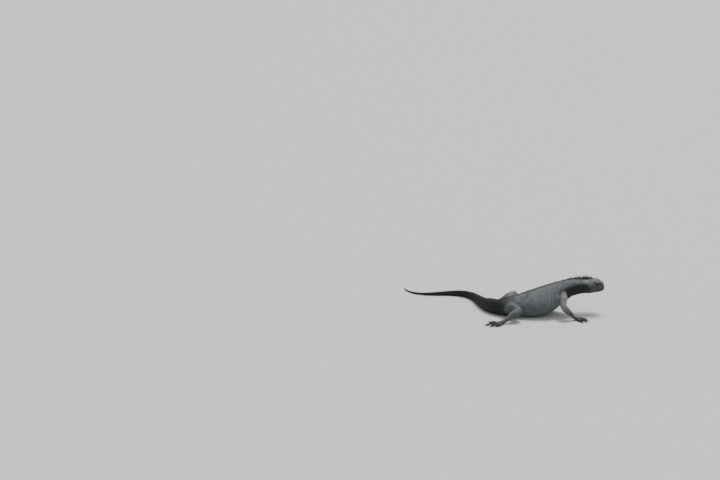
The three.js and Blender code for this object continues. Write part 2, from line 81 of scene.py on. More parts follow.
# The head's section by the distance behind the snout's tip, heights from the mouth line.
HEAD = [
    [0, 11, 1, 6, 0.42, 2.2, 2.2],
    [0.8, 15.5, -4, 11, 0.42, 2.2, 2.2],
    [2.5, 19.5, -7.5, 15, 0.4, 2.3, 2.2],
    [6, 24, -10.5, 18.5, 0.38, 2.4, 2.2],
    [11, 28.5, -12.5, 20.5, 0.37, 2.5, 2.2],
    [18, 32.5, -14, 22, 0.36, 2.5, 2.2],
    [26, 35, -15, 24, 0.36, 2.5, 2.2],
    [36, 36.6, -16, 26.5, 0.37, 2.5, 2.2],
    [48, 36.6, -17, 29, 0.38, 2.4, 2.1],
    [60, 36.2, -18, 30.5, 0.4, 2.3, 2.1],
    [72, 36, -18.3, 29.8, 0.44, 2.3, 2.1],
    [83, 36.2, -18.3, 29, 0.47, 2.3, 2.1],
]

# Swellings (+) and hollows (-) of the face: distance behind the tip, height over the mouth line,
# their two reaches, and how far the skin is pushed out.
FACE = [
    [36, 33, 11, 5, 2.6],  # brow
    [33, 22, 9, 7.5, -2.8],  # eye socket
    [20, 17, 8, 6, -1.6],  # hollow before the eye
    [8, 21, 5, 4.5, 1.8],  # nostril mound
    [22, 3.2, 20, 2.6, 1.5],  # upper lip
    [22, -4.4, 18, 2.6, 0.9],  # lower lip
    [57, -5, 12, 10, 2.6],  # jowl
    [62, 24, 9, 8, -1.2],  # temple
]

# How far the tail's direction has turned to the animal's left, in degrees, by its length from s = 0.
TAIL_TURN = [
    [0, 8],
    [35, 36],
    [75, 64],
    [130, 80],
    [190, 82],
    [245, 66],
    [290, 34],
    [345, 10],
    [405, 6],
    [455, 26],
    [510, 60],
    [580, 96],
]

# The mouth line: distance behind the tip and height over MOUTH_HEIGHT, up to the corner.
MOUTH = [[-2, 0.4], [6, -0.6], [16, -1.6], [28, -1], [38, 1.4], [46, 4]]
MOUTH_CORNER = 46
NOSTRIL_BACK, NOSTRIL_HEIGHT = 8.5, 22
EAR_BACK, EAR_HEIGHT, EAR_LONG, EAR_WIDE = 68, 5, 5.2, 3.2

# The crest by s: its spines' height, how far apart they stand and half their length at the root.
CREST = [
    [-580, 1.2, 3.0, 1.7],
    [-440, 2.8, 3.8, 2.2],
    [-250, 4.2, 4.3, 2.6],
    [-60, 4.6, 4.3, 2.7],
    [60, 5, 4.3, 2.7],
    [195, 6, 4.3, 2.7],
    [240, 8.5, 4.6, 3.0],
    [275, 13, 5.2, 3.5],
    [308, 18, 5.4, 3.7],
    [324, 16, 5.2, 3.5],
    [341, 10, 4.8, 3.0],
]

# Legs: distances ahead of the hips, outwards from the spine and above the floor, each with the half
# width and half height there.
FORE = {
    "right": {
        "upper": [[216, 26, 84, 17, 19], [210, 56, 73, 14, 16], [200, 86, 54, 11.5, 12]],
        "lower": [
            [199, 86, 55, 11, 11.5],
            [212, 91, 40, 11.5, 12],
            [229, 96, 24, 8.5, 9],
            [240, 98, 14, 8, 7],
        ],
        "aim": -14,
    },
    "left": {
        "upper": [[216, 26, 84, 17, 19], [205, 57, 71, 14, 16], [190, 87, 50, 11.5, 12]],
        "lower": [
            [189, 87, 51, 11, 11.5],
            [201, 93, 38, 11.5, 12],
            [217, 100, 23, 8.5, 9],
            [228, 103, 14, 8, 7],
        ],
        "aim": -26,
    },
    "palm": [[-1, 0, 13, 8, 7], [9, 0, 8, 11, 6.4], [21, 0, 6, 13, 5]],
    "knuckles": 16,
    # turn from the hand's aim (inwards is positive), place across the hand, length, thickness
    "digits": [
        [38, 9, 19, 4],
        [16, 5.5, 27, 4.2],
        [-3, 0.5, 33, 4.3],
        [-22, -5, 33, 4.2],
        [-52, -9, 23, 3.9],
    ],
}
HIND = {
    "right": {
        "upper": [[-4, 18, 36, 21, 23], [14, 50, 40, 19, 21], [31, 82, 39, 14, 15]],
        "lower": [
            [32, 84, 39, 13, 14],
            [12, 95, 32, 13.5, 14],
            [-12, 104, 20, 9, 9.5],
            [-26, 108, 13, 8.5, 7.5],
        ],
        "aim": -158,
    },
    "left": {
        "upper": [[2, 18, 38, 21, 23], [30, 54, 47, 19, 21], [58, 92, 51, 14, 15]],
        "lower": [
            [59, 94, 51, 13, 14],
            [40, 107, 38, 13.5, 14],
            [18, 119, 22, 9, 9.5],
            [5, 127, 13, 8.5, 7.5],
        ],
        "aim": -112,
    },
    "palm": [[-1, 0, 11, 8.5, 7.5], [13, 0, 8, 10.5, 6.5], [31, 0, 6, 12.5, 5.2]],
    "knuckles": 25,
    "digits": [
        [34, 9, 18, 4.2],
        [19, 6.5, 31, 4.4],
        [5, 2, 44, 4.6],
        [-9, -3.5, 54, 4.5],
        [-44, -9, 33, 4.1],
    ],
}
KNUCKLE_ARCH = 2.6

# Claws: how far their curve reaches, how far behind the digit's end they start, half width and half
# height there. Then the rings along each and the points round it.
CLAW_REACH, CLAW_START, CLAW_WIDE, CLAW_HIGH = 14.5, 4, 2.0, 2.7
CLAW_RINGS, CLAW_SIDES = 15, 14

# Folds and hollows of the skin: how deep each is pressed in, or how high it stands.
NECK_RINGS, THROAT_FOLD, FLANK_FOLDS = 0.7, 2.2, 0.9
MOUTH_GROOVE, NOSTRIL_CUP, EAR_RIM, EAR_CUP = 1.5, 3.6, 0.7, 2.1

# Markings: how dark the feet and ear drums are, how strong the painted highlight on the shoulders is, and
# how pale the folds' ridges are.
FOOT_DARK, DRUM_DARK, SHOULDER_PAINTED_LIGHT, FOLD_RIDGE_PALE = 0.8, 0.35, 0.42, 0.5

# The coat
COAT_DEPTH = 0.55  # how far the skin lies inside the solids
SKIN_CELL = 1.05  # grid of the joined skin
SKIN_TRIANGLES = 176000
PIECE_TRIANGLES = 190000
SPINE_SIDES, LIMB_SIDES, PALM_SIDES, DIGIT_SIDES = 120, 40, 36, 24  # points round the rough skin
SKIN_LOW, SCALE_LOW = 0.05, 0.02  # skin and scales lie at least so high above the floor
SEAM = 0.14  # bare skin between two scales
COARSE = 1.0
TRUNK_PITCH, LIMB_PITCH, PALM_PITCH, DIGIT_PITCH = 2.35, 2.4, 2.0, 1.8
TRUNK_FRONT = HEAD_BACK + 4  # the trunk's rows end here, under the head's mosaic
ROW_STEP = 0.88  # how far apart rows stand, as a share of the pitch
HEAD_TRIES, GAP_TRIES = 34000, 70000  # random places tried for the mosaic and in the gaps
FACES_DOWN, RESTS_UNDER = 0.93, 1.2  # skin that faces down so far and lies so low rests on the floor
DEEPEST, FARTHEST = 2.2, 5.5  # a root that lies deeper in the skin, or farther off it, is dropped
# The least distance from a scale of another field, or of its own, as a share of their two sizes, and
# the least square of it in the mosaic.
NEAR_OTHERS, NEAR_OWN, MOSAIC_NEAR = 0.84, 0.6, 0.84
HANDFUL = 800  # scales that are made at once

# The mosaic's half sizes: plain, smallest, and how much more on forehead, snout, jowls and brows.
HEAD_PLAIN, HEAD_SMALL = 1.15, 0.85
FOREHEAD_MORE, SNOUT_MORE, JOWL_MORE, BROW_MORE = 1.0, 0.45, 0.45, 0.5

# Lip plates, above (1) and below (-1) the mouth line: height of their middle over it and half height;
# half lengths at the snout's tip, a little way along and at the corner. The path that they stand on
# starts as a fan of rays from so far behind the tip.
LIP_ROWS = ((1, 1.6, 1.4), (-1, -1.5, 1.3))
LIP_LONG, LIP_LONGEST_AT = (1.35, 1.55, 1.3), 14
LIP_FAN, LIP_RAYS = 20, 30

# Eyelids: the opening's half angles in degrees, how far round the ball they follow it, where they
# meet the skin from the eye's axis, and the rings in each half of their outside. The nostril's ring.
LID_OPEN_WIDE, LID_OPEN_UP, LID_OPEN_DOWN = 40, 25, 26
LID_TURN, LID_FOOT, LID_ROWS = 50, 12.6, 12
NOSTRIL_OUT = 2.6
EYE_SIDES, LID_SIDES, NOSTRIL_SIDES = 48, 72, 24
LID_LOOKUP = 144  # turns round the lids at which their beads look up the surface

# Beads on the lids by the length from the rim: how far apart their rows stand, and their half size.
LID_BEADS = [[0, 0.72, 0.4], [3, 0.9, 0.5], [8, 1.5, 0.85]]

# The nostril's profile from the skin over its ring down into its cup, and its hidden underside:
# radius and height.
NOSTRIL = [(3.4, -0.6), (2.9, 0.1), (2.3, 0.5), (1.8, 0.52)]
NOSTRIL += [(1.45, 0.2), (1.2, -0.5), (1.1, -1.4), (0.6, -2.3)]
NOSTRIL_UNDER = [(2.6, -1.2), (1.7, -2.2), (0.6, -2.6)]

# Crest spines: the levels of their rings, the points round each, how deep they are rooted, and their
# half thickness by s.
CREST_LEVELS = np.array([0, 0.22, 0.45, 0.66, 0.85, 1.0])
CREST_SIDES, CREST_ROOT = 6, 2.0
CREST_THICK = [[-580, 0.45], [-300, 0.75], [100, 1.0], [230, 1.1], [300, 1.6]]

# Where each region's scales lie on the OFBake map: left, bottom, width, height.
BAKE_PLACES = {
    "trunk": (0.01, 0.01, 0.60, 0.50),
    "tail": (0.01, 0.53, 0.60, 0.20),
    "crest": (0.01, 0.745, 0.60, 0.01),
    "head": (0.63, 0.01, 0.36, 0.30),
    "legs": (0.63, 0.33, 0.36, 0.42),
    "feet": (0.01, 0.77, 0.98, 0.22),
}
BAKE_PATCH = 0.003
# The real size that each region's part of the map stands for, along and round the body.
BAKE_SPANS = {
    "trunk": (330, 330),
    "tail": (555, 120),
    "head": (90, 160),
    "legs": (320, 160),
    "feet": (240, 170),
}
HEAD_SPAN = 100  # the length behind the snout's tip that the head's part of the map takes in

# Small helpers


def along(table, s):
    """The table's columns at s: a cubic through its rows, each slope taken from the row's neighbours."""
    table = np.asarray(table, float)
    keys, rows = table[:, 0], table[:, 1:]
    s = np.asarray(s, float)
    i = np.clip(np.searchsorted(keys, s) - 1, 0, len(keys) - 2)
    before = np.maximum(np.arange(len(keys)) - 1, 0)
    after = np.minimum(np.arange(len(keys)) + 1, len(keys) - 1)
    slopes = (rows[after] - rows[before]) / (keys[after] - keys[before])[:, None]
    span = (keys[i + 1] - keys[i])[..., None]
    t = np.clip((s - keys[i])[..., None] / span, 0, 1)
    bend = (1 - t) ** 2 * t * slopes[i] * span - (1 - t) * t**2 * slopes[i + 1] * span
    return rows[i] + (rows[i + 1] - rows[i]) * t * t * (3 - 2 * t) + bend


def unit(v):
    """Each vector at length one."""
    return v / np.maximum(np.linalg.norm(v, axis=-1, keepdims=True), 1e-9)


def dots(a, b):
    """How far each row of a reaches along its row of b."""
    return np.einsum("...i,...i->...", a, b)


def ramp(x, low, high):
    """Rises smoothly from 0 at low to 1 at high."""
    t = np.clip((x - low) / (high - low), 0, 1)
    return t * t * (3 - 2 * t)


def bell(x, middle, reach):
    """A bell curve that is 1 at the middle and falls off over the reach."""
    return np.exp(-(((x - middle) / reach) ** 2))


def turns(count, start=0):
    """Evenly spaced turns once round, moved on by the start, which is in steps."""
    return (np.arange(count) + start) * tau / count


def on_circle(turn):
    """Points of a flat circle at each turn: its cosine, its sine and 0."""
    return np.stack([np.cos(turn), np.sin(turn), 0 * turn], -1)


def travelled(path):
    """How far along a path each of its points lies: the sum of the steps before it."""
    return np.concatenate([[0], np.cumsum(np.linalg.norm(np.diff(path, axis=0), axis=1))])


def at_lengths(path, length, wanted):
    """The places that lie at the wanted lengths along a path, in straight lines between its points."""
    return np.stack([np.interp(wanted, length, column) for column in path.T], 1)


def square_to(way, look):
    """A way turned square to the look: less its own reach along it, at length one."""
    return unit(np.array(way) - look * np.dot(way, look))


def lifted(points, least):
    """The points, where those under the least height above the floor are raised to it."""
    points[..., 2] = np.maximum(points[..., 2], least)
    return points


WAVES = unit(draw.normal(size=(6, 3))) * np.array([1, 1.31, 0.77, 1.62, 0.9, 1.17])[:, None]
WAVE_SHIFTS = draw.uniform(0, tau, size=6)


def ripple(points, length):
    """Soft unevenness from -1 to 1: six slanting waves of about one length, added together."""
    return np.sin(points @ WAVES.T * tau / length + WAVE_SHIFTS).sum(-1) / 3.2


# Spine and sections

tail_steps = np.arange(-TAIL_TIP + 1)
tail_turns = np.radians(along(TAIL_TURN, tail_steps[:-1] + 0.5)[:, 0])
tail_path = np.zeros((len(tail_steps), 2))
tail_path[1:] = np.cumsum(np.stack([-np.cos(tail_turns), np.sin(tail_turns)], 1), 0)


def spine(s):
    """The spine's level place at s and the direction to the animal's left: straight ahead of the
    hips, and behind them along the tail's path, which adds up steps in its turning direction."""
    s = np.asarray(s, float)
    behind = np.clip(-s, 0, -TAIL_TIP)
    x = np.where(s >= 0, s, np.interp(behind, tail_steps, tail_path[:, 0]))
    y = np.interp(behind, tail_steps, tail_path[:, 1])
    turn = np.where(s >= 0, 0, np.radians(along(TAIL_TURN, behind)[..., 0]))
    zero = np.zeros_like(x)
    return np.stack([x, y, zero], -1), np.stack([np.sin(turn), np.cos(turn), zero], -1)


def section(s):
    """The section's sizes at s, heights above the floor: the body's table, or the head's."""
    body = along(BODY, s)
    head = along(HEAD, SNOUT - s)
    head[..., :2] += MOUTH_HEIGHT
    return np.where((s >= HEAD_BACK)[..., None], head, body)


def hide_at(s, angle, grow=0.0):
    """The hide at s and an angle round the body (0 left, 90 degrees top): a superellipse round the
    section's widest place, pushed out by the face's swellings, each a bell in length and height."""
    s, angle = np.broadcast_arrays(np.asarray(s, float), np.asarray(angle, float))
    top, bottom, half, share, upper, lower = np.moveaxis(section(s), -1, 0)
    middle = bottom + share * (top - bottom)
    across, up = np.cos(angle), np.sin(angle)
    power = 2 / np.where(up >= 0, upper, lower)
    reach = np.where(up >= 0, top - middle, middle - bottom)
    y = half * np.sign(across) * np.abs(across) ** power
    z = middle + reach * np.sign(up) * np.abs(up) ** power
    push = np.broadcast_to(grow, s.shape).astype(float)
    on_head = s > HEAD_BACK - 20
    for back, height, long_reach, tall_reach, swell in FACE:
        shape = ((SNOUT - s - back) / long_reach) ** 2 + ((z - MOUTH_HEIGHT - height) / tall_reach) ** 2
        push = push + on_head * swell * np.exp(-shape)
    place, left = spine(s)
    point = place + left * (y + push * across)[..., None]
    point[..., 2] = z + push * up
    return point


def way_back(s, angle, step=1):
    """The way back along the hide at s and an angle: from a step ahead to a step behind."""
    return unit(hide_at(s - step, angle) - hide_at(s + step, angle))


def tube(places, sides, grow=0.0, steps=8, bulge=None):
    """Rings round a smooth path through the named places, an ellipse across the path at each step,
    swollen by the bulge, with a half round cap at each end."""
    places = np.asarray(places, float)
    last = len(places) - 1
    t = np.linspace(0, last, last * steps + 1)
    values = along(np.column_stack([np.arange(last + 1), places]), t)
    at, wide, high = values[:, :3], values[:, 3] + grow, values[:, 4] + grow
    if bulge is not None:
        wide, high = wide * bulge(t / last), high * bulge(t / last)
    ahead = unit(np.gradient(at, axis=0))
    cap = np.radians([85, 68, 50, 33, 16])
    domes = []
    for end, way, turn in ((0, -1, cap), (-1, 1, cap[::-1])):
        dome = at[end] + way * 0.4 * (wide[end] + high[end]) * np.outer(np.sin(turn), ahead[end])
        forward = np.broadcast_to(ahead[end], dome.shape)
        domes.append((dome, forward, wide[end] * np.cos(turn), high[end] * np.cos(turn)))
    parts = zip(domes[0], (at, ahead, wide, high), domes[1])
    centre, forward, wide, high = (np.concatenate(part) for part in parts)
    side = unit(np.cross([0, 0, 1], forward))
    up = np.cross(forward, side)
    angle = turns(sides, 0.5)
    rings = centre[:, None] + side[:, None] * (wide[:, None] * np.cos(angle))[..., None]
    return rings + up[:, None] * (high[:, None] * np.sin(angle))[..., None]


def bands(count, sides, closed=False):
    """Two triangles for each cell between rings of points, and from the last ring to the first
    where the rings close up."""
    rows = np.arange(count if closed else count - 1)
    row, k = np.meshgrid(rows, np.arange(sides), indexing="ij")
    after, above = (k + 1) % sides, (row + 1) % count * sides
    a, b, c, d = (v.ravel() for v in (row * sides + k, row * sides + after, above + after, above + k))
    return np.concatenate([np.stack([a, b, c], 1), np.stack([a, c, d], 1)])


def for_each(one, count, size):
    """One shell's triangles again for each of a count of shells, which have so many points each."""
    return (one[None] + (np.arange(count) * size)[:, None, None]).reshape(-1, 3)


def loft(rings):
    """A closed shell through rings of points: bands between them and a fan at each end."""
    count, sides = rings.shape[:2]
    points = np.concatenate([rings.reshape(-1, 3), rings[[0, -1]].mean(1)])
    k = np.arange(sides)
    after = (k + 1) % sides
    end = (count - 1) * sides
    first = np.stack([after, k, np.full(sides, count * sides)], 1)
    last = np.stack([end + k, end + after, np.full(sides, count * sides + 1)], 1)
    return outward(points, np.concatenate([bands(count, sides), first, last]))


def outward(points, faces):
    """The same shell with its faces pointing out: turned round where its volume comes out negative."""
    a, b, c = (points[faces[:, n]] - points.mean(0) for n in range(3))
    return points, faces if dots(a, np.cross(b, c)).sum() > 0 else faces[:, ::-1]


def join(shells):
    """Several shells as one set of points and triangles."""
    starts = np.cumsum([0] + [len(points) for points, _ in shells[:-1]])
    points = np.concatenate([points for points, _ in shells])
    return points, np.concatenate([faces + start for (_, faces), start in zip(shells, starts)])


# The frame's own place: the right and left eye lie evenly beside the middle line.
low_left, high_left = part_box("eye_left")
eye_left = (np.array(low_left) + np.array(high_left)) / 2 / MM
frame_shift = eye_left - np.array([SNOUT - EYE_BACK, EYE_SIDE, MOUTH_HEIGHT + EYE_HEIGHT])


def into_scene(name, data):
    """A new object with its data, in the scene."""
    obj = bpy.data.objects.new(name, data)
    bpy.context.scene.collection.objects.link(obj)
    return obj


def shape_object(name, points, faces, material=None):
    """A piece made of triangles: its points go from the animal's millimetres to the frame's metres,
    and with a material it rides on the body."""
    mesh = bpy.data.meshes.new(name)
    points = (points + frame_shift) * MM
    mesh.vertices.add(len(points))
    mesh.vertices.foreach_set("co", points.astype(np.float32).ravel())
    mesh.loops.add(faces.size)
    mesh.loops.foreach_set("vertex_index", faces.astype(np.int32).ravel())
    mesh.polygons.add(len(faces))
    mesh.polygons.foreach_set("loop_start", np.arange(0, faces.size, 3, dtype=np.int32))
    mesh.polygons.foreach_set("loop_total", np.full(len(faces), 3, dtype=np.int32))
    mesh.update(calc_edges=True)
    mesh.validate()
    mesh.polygons.foreach_set("use_smooth", np.full(len(mesh.polygons), True))
    obj = into_scene(name, mesh)
    if material is not None:
        mesh.materials.append(material)
        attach(obj, "root")
    return obj


def set_attributes(obj, values):
    """Keeps numbers for each point of the piece, for its material to read."""
    for name, value in values.items():
        made = obj.data.attributes.new(name, "FLOAT", "POINT")
        made.data.foreach_set("value", np.asarray(value, np.float32))


def set_bake_map(obj, uv):
    """The map that the coat is baked on, from one place for each point."""
    corner = np.empty(len(obj.data.loops), np.int32)
    obj.data.loops.foreach_get("vertex_index", corner)
    layer = obj.data.uv_layers.new(name="OFBake")
    layer.data.foreach_set("uv", uv[corner].astype(np.float32).ravel())


def points_of(mesh):
    """The mesh's points in the animal's millimetres."""
    co = np.empty(len(mesh.vertices) * 3, np.float32)
    mesh.vertices.foreach_get("co", co)
    return co.reshape(-1, 3).astype(float) / MM - frame_shift


def triangles_of(mesh):
    """The mesh's triangles as rows of three point numbers."""
    mesh.calc_loop_triangles()
    rows = np.empty(len(mesh.loop_triangles) * 3, np.int32)
    mesh.loop_triangles.foreach_get("vertices", rows)
    return rows.reshape(-1, 3)


def point_normals(points, faces):
    """The outward direction at each point: the sum of its triangles' normals, weighed by area."""
    a, b, c = (points[faces[:, n]] for n in range(3))
    flat = np.cross(b - a, c - a)
    normals = np.zeros_like(points)
    for corner in range(3):
        for axis in range(3):
            normals[:, axis] += np.bincount(faces[:, corner], flat[:, axis], len(points))
    return unit(normals)


# Legs as lists of places


def leg_parts(spec, side):
    """One leg's upper limb, lower limb, palm and digits as rows of x, y, z, half width, half height,
    and each claw's root and heading. The foot is laid out from the wrist along its aim."""
    sign = 1 if side == "left" else -1
    mirror = np.array([1, sign, 1, 1, 1.0])
    upper = np.array(spec[side]["upper"], float) * mirror
    lower = np.array(spec[side]["lower"], float) * mirror
    aim = spec[side]["aim"]

    def towards(turn):
        """The level way at a turn from straight ahead, on this leg's side."""
        return np.array([cos(radians(turn)), sign * sin(radians(turn)), 0])

    heading, inwards = towards(-aim), towards(-aim - 90)
    wrist = lower[-1, :3] * [1, 1, 0]
    palm = [[*(wrist + heading * x + inwards * y + [0, 0, z]), w, h] for x, y, z, w, h in spec["palm"]]
    digits, claws = [], []
    for turn, across, length, thick in spec["digits"]:
        lie = towards(-aim - turn)
        root = wrist + heading * spec["knuckles"] + inwards * across
        rest = thick - 0.5
        rows = (
            (0, rest + 1.2, 1, 1),
            (0.5, rest + KNUCKLE_ARCH, 0.92, 0.95),
            (0.85, rest + 0.6, 0.82, 0.86),
            (1, rest - 0.4, 0.66, 0.78),
        )
        digit = []
        for share, z, w, h in rows:
            digit.append([*(root + lie * length * share + [0, 0, z]), thick * w, thick * h])
        digits.append(np.array(digit))
        claws.append((digits[-1][-1, :3], lie))
    return {"upper": upper, "lower": lower, "palm": np.array(palm), "digits": digits, "claws": claws}


SIDES = ("left", "right")
LEGS = (("fore", FORE), ("hind", HIND))
legs = {(name, side): leg_parts(spec, side) for name, spec in LEGS for side in SIDES}


def knuckles(share):
    """A digit swells a little at its joints and narrows between them."""
    return 1 + 0.07 * np.cos(share * tau * 3)


def calf(share):
    """A limb's muscle: fuller near its start than at its end."""
    return 1 + 0.08 * np.sin(pi * np.clip(share * 1.3, 0, 1)) - 0.05 * bell(share, 0.85, 0.2)


# Skin


def rough_skin():
    """The flesh before it is joined: a closed shell for the spine, each limb, palm and digit. The
    skin lies the coat's depth inside it, but not at the tail's tip, which would be too thin."""
    snout = SNOUT - np.concatenate([np.arange(82, 2, -1.0), [2, 1.2, 0.6, 0.25, 0]])
    s = np.concatenate([np.arange(TAIL_TIP, HEAD_BACK, 2.0), snout])
    angle = turns(SPINE_SIDES, 0.5)
    grow = 0.35 - (0.35 + COAT_DEPTH) * ramp(s, -575, -470)
    shells = [loft(hide_at(s[:, None], angle[None], grow[:, None]))]
    for parts in legs.values():
        for half in ("upper", "lower"):
            shells.append(loft(tube(parts[half], LIMB_SIDES, -COAT_DEPTH, bulge=calf)))
        shells.append(loft(tube(parts["palm"], PALM_SIDES, -COAT_DEPTH)))
        for digit in parts["digits"]:
            shells.append(loft(tube(digit, DIGIT_SIDES, -COAT_DEPTH * 0.8, bulge=knuckles)))
    return join(shells)


def applied(obj, kind, **settings):
    """Puts a modifier on the object and keeps its result as the object's mesh."""
    modifier = obj.modifiers.new(kind, kind)
    for name, value in settings.items():
        setattr(modifier, name, value)
    evaluated = obj.evaluated_get(bpy.context.evaluated_depsgraph_get())
    mesh = bpy.data.meshes.new_from_object(evaluated)
    obj.modifiers.clear()
    old = obj.data
    obj.data = mesh
    bpy.data.meshes.remove(old)


def relaxed(points, faces, weight, rounds):
    """Draws each point towards the middle of its neighbours, by its weight, in several rounds."""
    a = np.concatenate([faces[:, 0], faces[:, 1], faces[:, 2]])
    b = np.concatenate([faces[:, 1], faces[:, 2], faces[:, 0]])
    count = np.maximum(np.bincount(a, minlength=len(points)), 1)
    moved = points.copy()
    for _ in range(rounds):
        for axis in range(3):
            middle = np.bincount(a, moved[b, axis], len(points)) / count
            moved[:, axis] += weight * (middle - moved[:, axis])
    return moved


def joint_weight(points):
    """How much a point is smoothed as flesh between two parts: near 1 round each shoulder, hip,
    elbow, knee and wrist, where limbs run together, and 0 away from them."""
    weight = np.zeros(len(points))
    for parts in legs.values():
        ends = ((parts["upper"][0, :3], 46), (parts["upper"][-1, :3], 19), (parts["lower"][-1, :3], 14))
        for place, reach in ends:
            away = np.linalg.norm(points - place, axis=1)
            weight = np.maximum(weight, 1 - ramp(away, reach * 0.7, reach))
    return weight


def tail_place(points):
    """The s of points beside the tail: the nearest millimetre of its path; x itself ahead of the hips."""
    s = points[:, 0].copy()
    behind = np.flatnonzero(points[:, 0] < 0)
    for part in np.array_split(behind, 1 + len(behind) // 4000):
        away = np.linalg.norm(points[part, None, :2] - tail_path[None, ::2], axis=2)
        s[part] = np.minimum(-2.0 * np.argmin(away, axis=1), 0)
    return s


def on_mouth(points):
    """How far a point of the head lies above the mouth line, and how far behind the snout's tip."""
    back = SNOUT - points[:, 0]
    return points[:, 2] - MOUTH_HEIGHT - along(MOUTH, back)[:, 0], back


def eye_frame(side):
    """The eye's middle, the way it looks (outwards, a little ahead and up), its front and its top."""
    sign = 1 if side == "left" else -1
    centre = np.array([SNOUT - EYE_BACK, sign * EYE_SIDE, MOUTH_HEIGHT + EYE_HEIGHT])
    look = unit(np.array([0.2, sign * 0.95, 0.14]))
    front = square_to([1, 0, -0.06], look)
    return centre, look, front, np.cross(front, look) * sign


def round_eye(points, side):
    """How far points lie out along the eye's axis and how far from it."""
    centre, look, _, _ = eye_frame(side)
    depth = (points - centre) @ look
    return depth, np.linalg.norm(points - centre - depth[:, None] * look, axis=1)


def from_nostril(points):
    """How far points of the snout lie from the nostril's middle, seen from the side."""
    back, height = SNOUT - points[:, 0], points[:, 2] - MOUTH_HEIGHT
    return np.hypot(back - NOSTRIL_BACK, (height - NOSTRIL_HEIGHT) * 1.1)


def from_ear(points):
    """How far points lie from the ear's middle, where 1 is its oval edge."""
    back, height = SNOUT - points[:, 0], points[:, 2] - MOUTH_HEIGHT
    return np.hypot((back - EAR_BACK) / EAR_WIDE, (height - EAR_HEIGHT) / EAR_LONG)


def flank_folds(points, normals):
    """Upright folds of loose skin behind the shoulder, from -1 in a fold to 1 on its ridge: a wave
    along the body whose place and strength wander, on the lower flank only."""
    s, height = points[:, 0], points[:, 2]
    where = ramp(s, 84, 130) * (1 - ramp(s, 186, 212)) * (1 - normals[:, 2] ** 2)
    where *= (1 - ramp(height, 74, 98)) * ramp(height, 6, 26) * (0.55 + 0.45 * ripple(points, 47))
    return where * np.sin(s * tau / 13 + 0.035 * height + 2.4 * ripple(points, 75))


def carved(points, normals):
    """Folds and hollows pressed into the joined skin, as distances out along its normals: neck rings
    and the throat fold, which leave out the forefeet below them, flank folds behind the shoulder,
    the mouth line, nostrils and ears."""
    s, height = points[:, 0], points[:, 2]
    out = 0.35 * ripple(points, 34) + 0.18 * ripple(points, 13)
    over_feet = ramp(height, 34, 46)
    neck = over_feet * ramp(s, 236, 256) * (1 - ramp(s, 290, 314)) * (1 - ramp(height, 108, 126))
    rings = np.sin(s * tau / 10.5 + 0.06 * height + 2.2 * ripple(points, 52))
    out += NECK_RINGS * neck * rings * (0.6 + 0.4 * ripple(points, 31))
    throat = over_feet * (1 - ramp(height, 84, 112))
    out -= THROAT_FOLD * throat * bell(s, 258 - 0.18 * (height - 70), 3.6)
    out += FLANK_FOLDS * flank_folds(points, normals)
    above, back = on_mouth(points)
    on_head = s > HEAD_BACK
    lips = on_head * (1 - ramp(back, MOUTH_CORNER - 2, MOUTH_CORNER + 3)) * (np.abs(normals[:, 2]) < 0.86)
    out -= MOUTH_GROOVE * lips * bell(above, 0, 0.75)
    beside = on_head * (np.abs(normals[:, 1]) > 0.25)
    out -= NOSTRIL_CUP * beside * (1 - ramp(from_nostril(points), 1.6, 2.7))
    ear = from_ear(points)
    out += on_head * (EAR_RIM * bell(ear, 1.25, 0.22) - EAR_CUP * (1 - ramp(ear, 0.75, 1.1)))
    return out


def sunk_for_eyes(points):
    """Presses the skin round each eye back to the eyeball's middle, so that it lies under the lids."""
    moved = points.copy()
    for side in SIDES:
        depth, around = round_eye(moved, side)
        press = (1 - ramp(around, LID_FOOT - 2.2, LID_FOOT - 0.2)) * (depth > 0)
        moved -= (press * np.maximum(depth - 0.8, 0))[:, None] * eye_frame(side)[1]
    return moved


def make_skin(material):
    """The one skin: rough shells joined on a fine grid, smoothed where limbs meet, folded and
    hollowed, flattened on the floor, and thinned out everywhere but on the head."""
    points, faces = rough_skin()
    obj = shape_object("skin", points, faces)
    applied(obj, "REMESH", mode="VOXEL", voxel_size=SKIN_CELL * COARSE * MM, adaptivity=0)
    points, faces = points_of(obj.data), triangles_of(obj.data)
    points = relaxed(points, faces, 0.5 * joint_weight(points), 40)
    points = relaxed(points, faces, 0.15 + 0.3 * ramp(tail_place(points), -560, -480), 4)
    points += point_normals(points, faces) * 0.1
    points = sunk_for_eyes(points)
    normals = point_normals(points, faces)
    points += normals * carved(points, normals)[:, None]
    points = lifted(points, SKIN_LOW)
    obj.data.vertices.foreach_set("co", ((points + frame_shift) * MM).astype(np.float32).ravel())
    obj.data.update()
    if len(faces) > SKIN_TRIANGLES:
        thin = obj.vertex_groups.new(name="thin")
        thin.add(np.flatnonzero(points[:, 0] <= HEAD_BACK - 6).tolist(), 1.0, "REPLACE")
        settings = {"decimate_type": "COLLAPSE", "ratio": SKIN_TRIANGLES / len(faces)}
        applied(obj, "DECIMATE", vertex_group="thin", vertex_group_factor=8.0, **settings)
        obj.vertex_groups.clear()
    obj.data.materials.append(material)
    obj.data.polygons.foreach_set("use_smooth", np.full(len(obj.data.polygons), True))
    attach(obj, "root")
    return obj


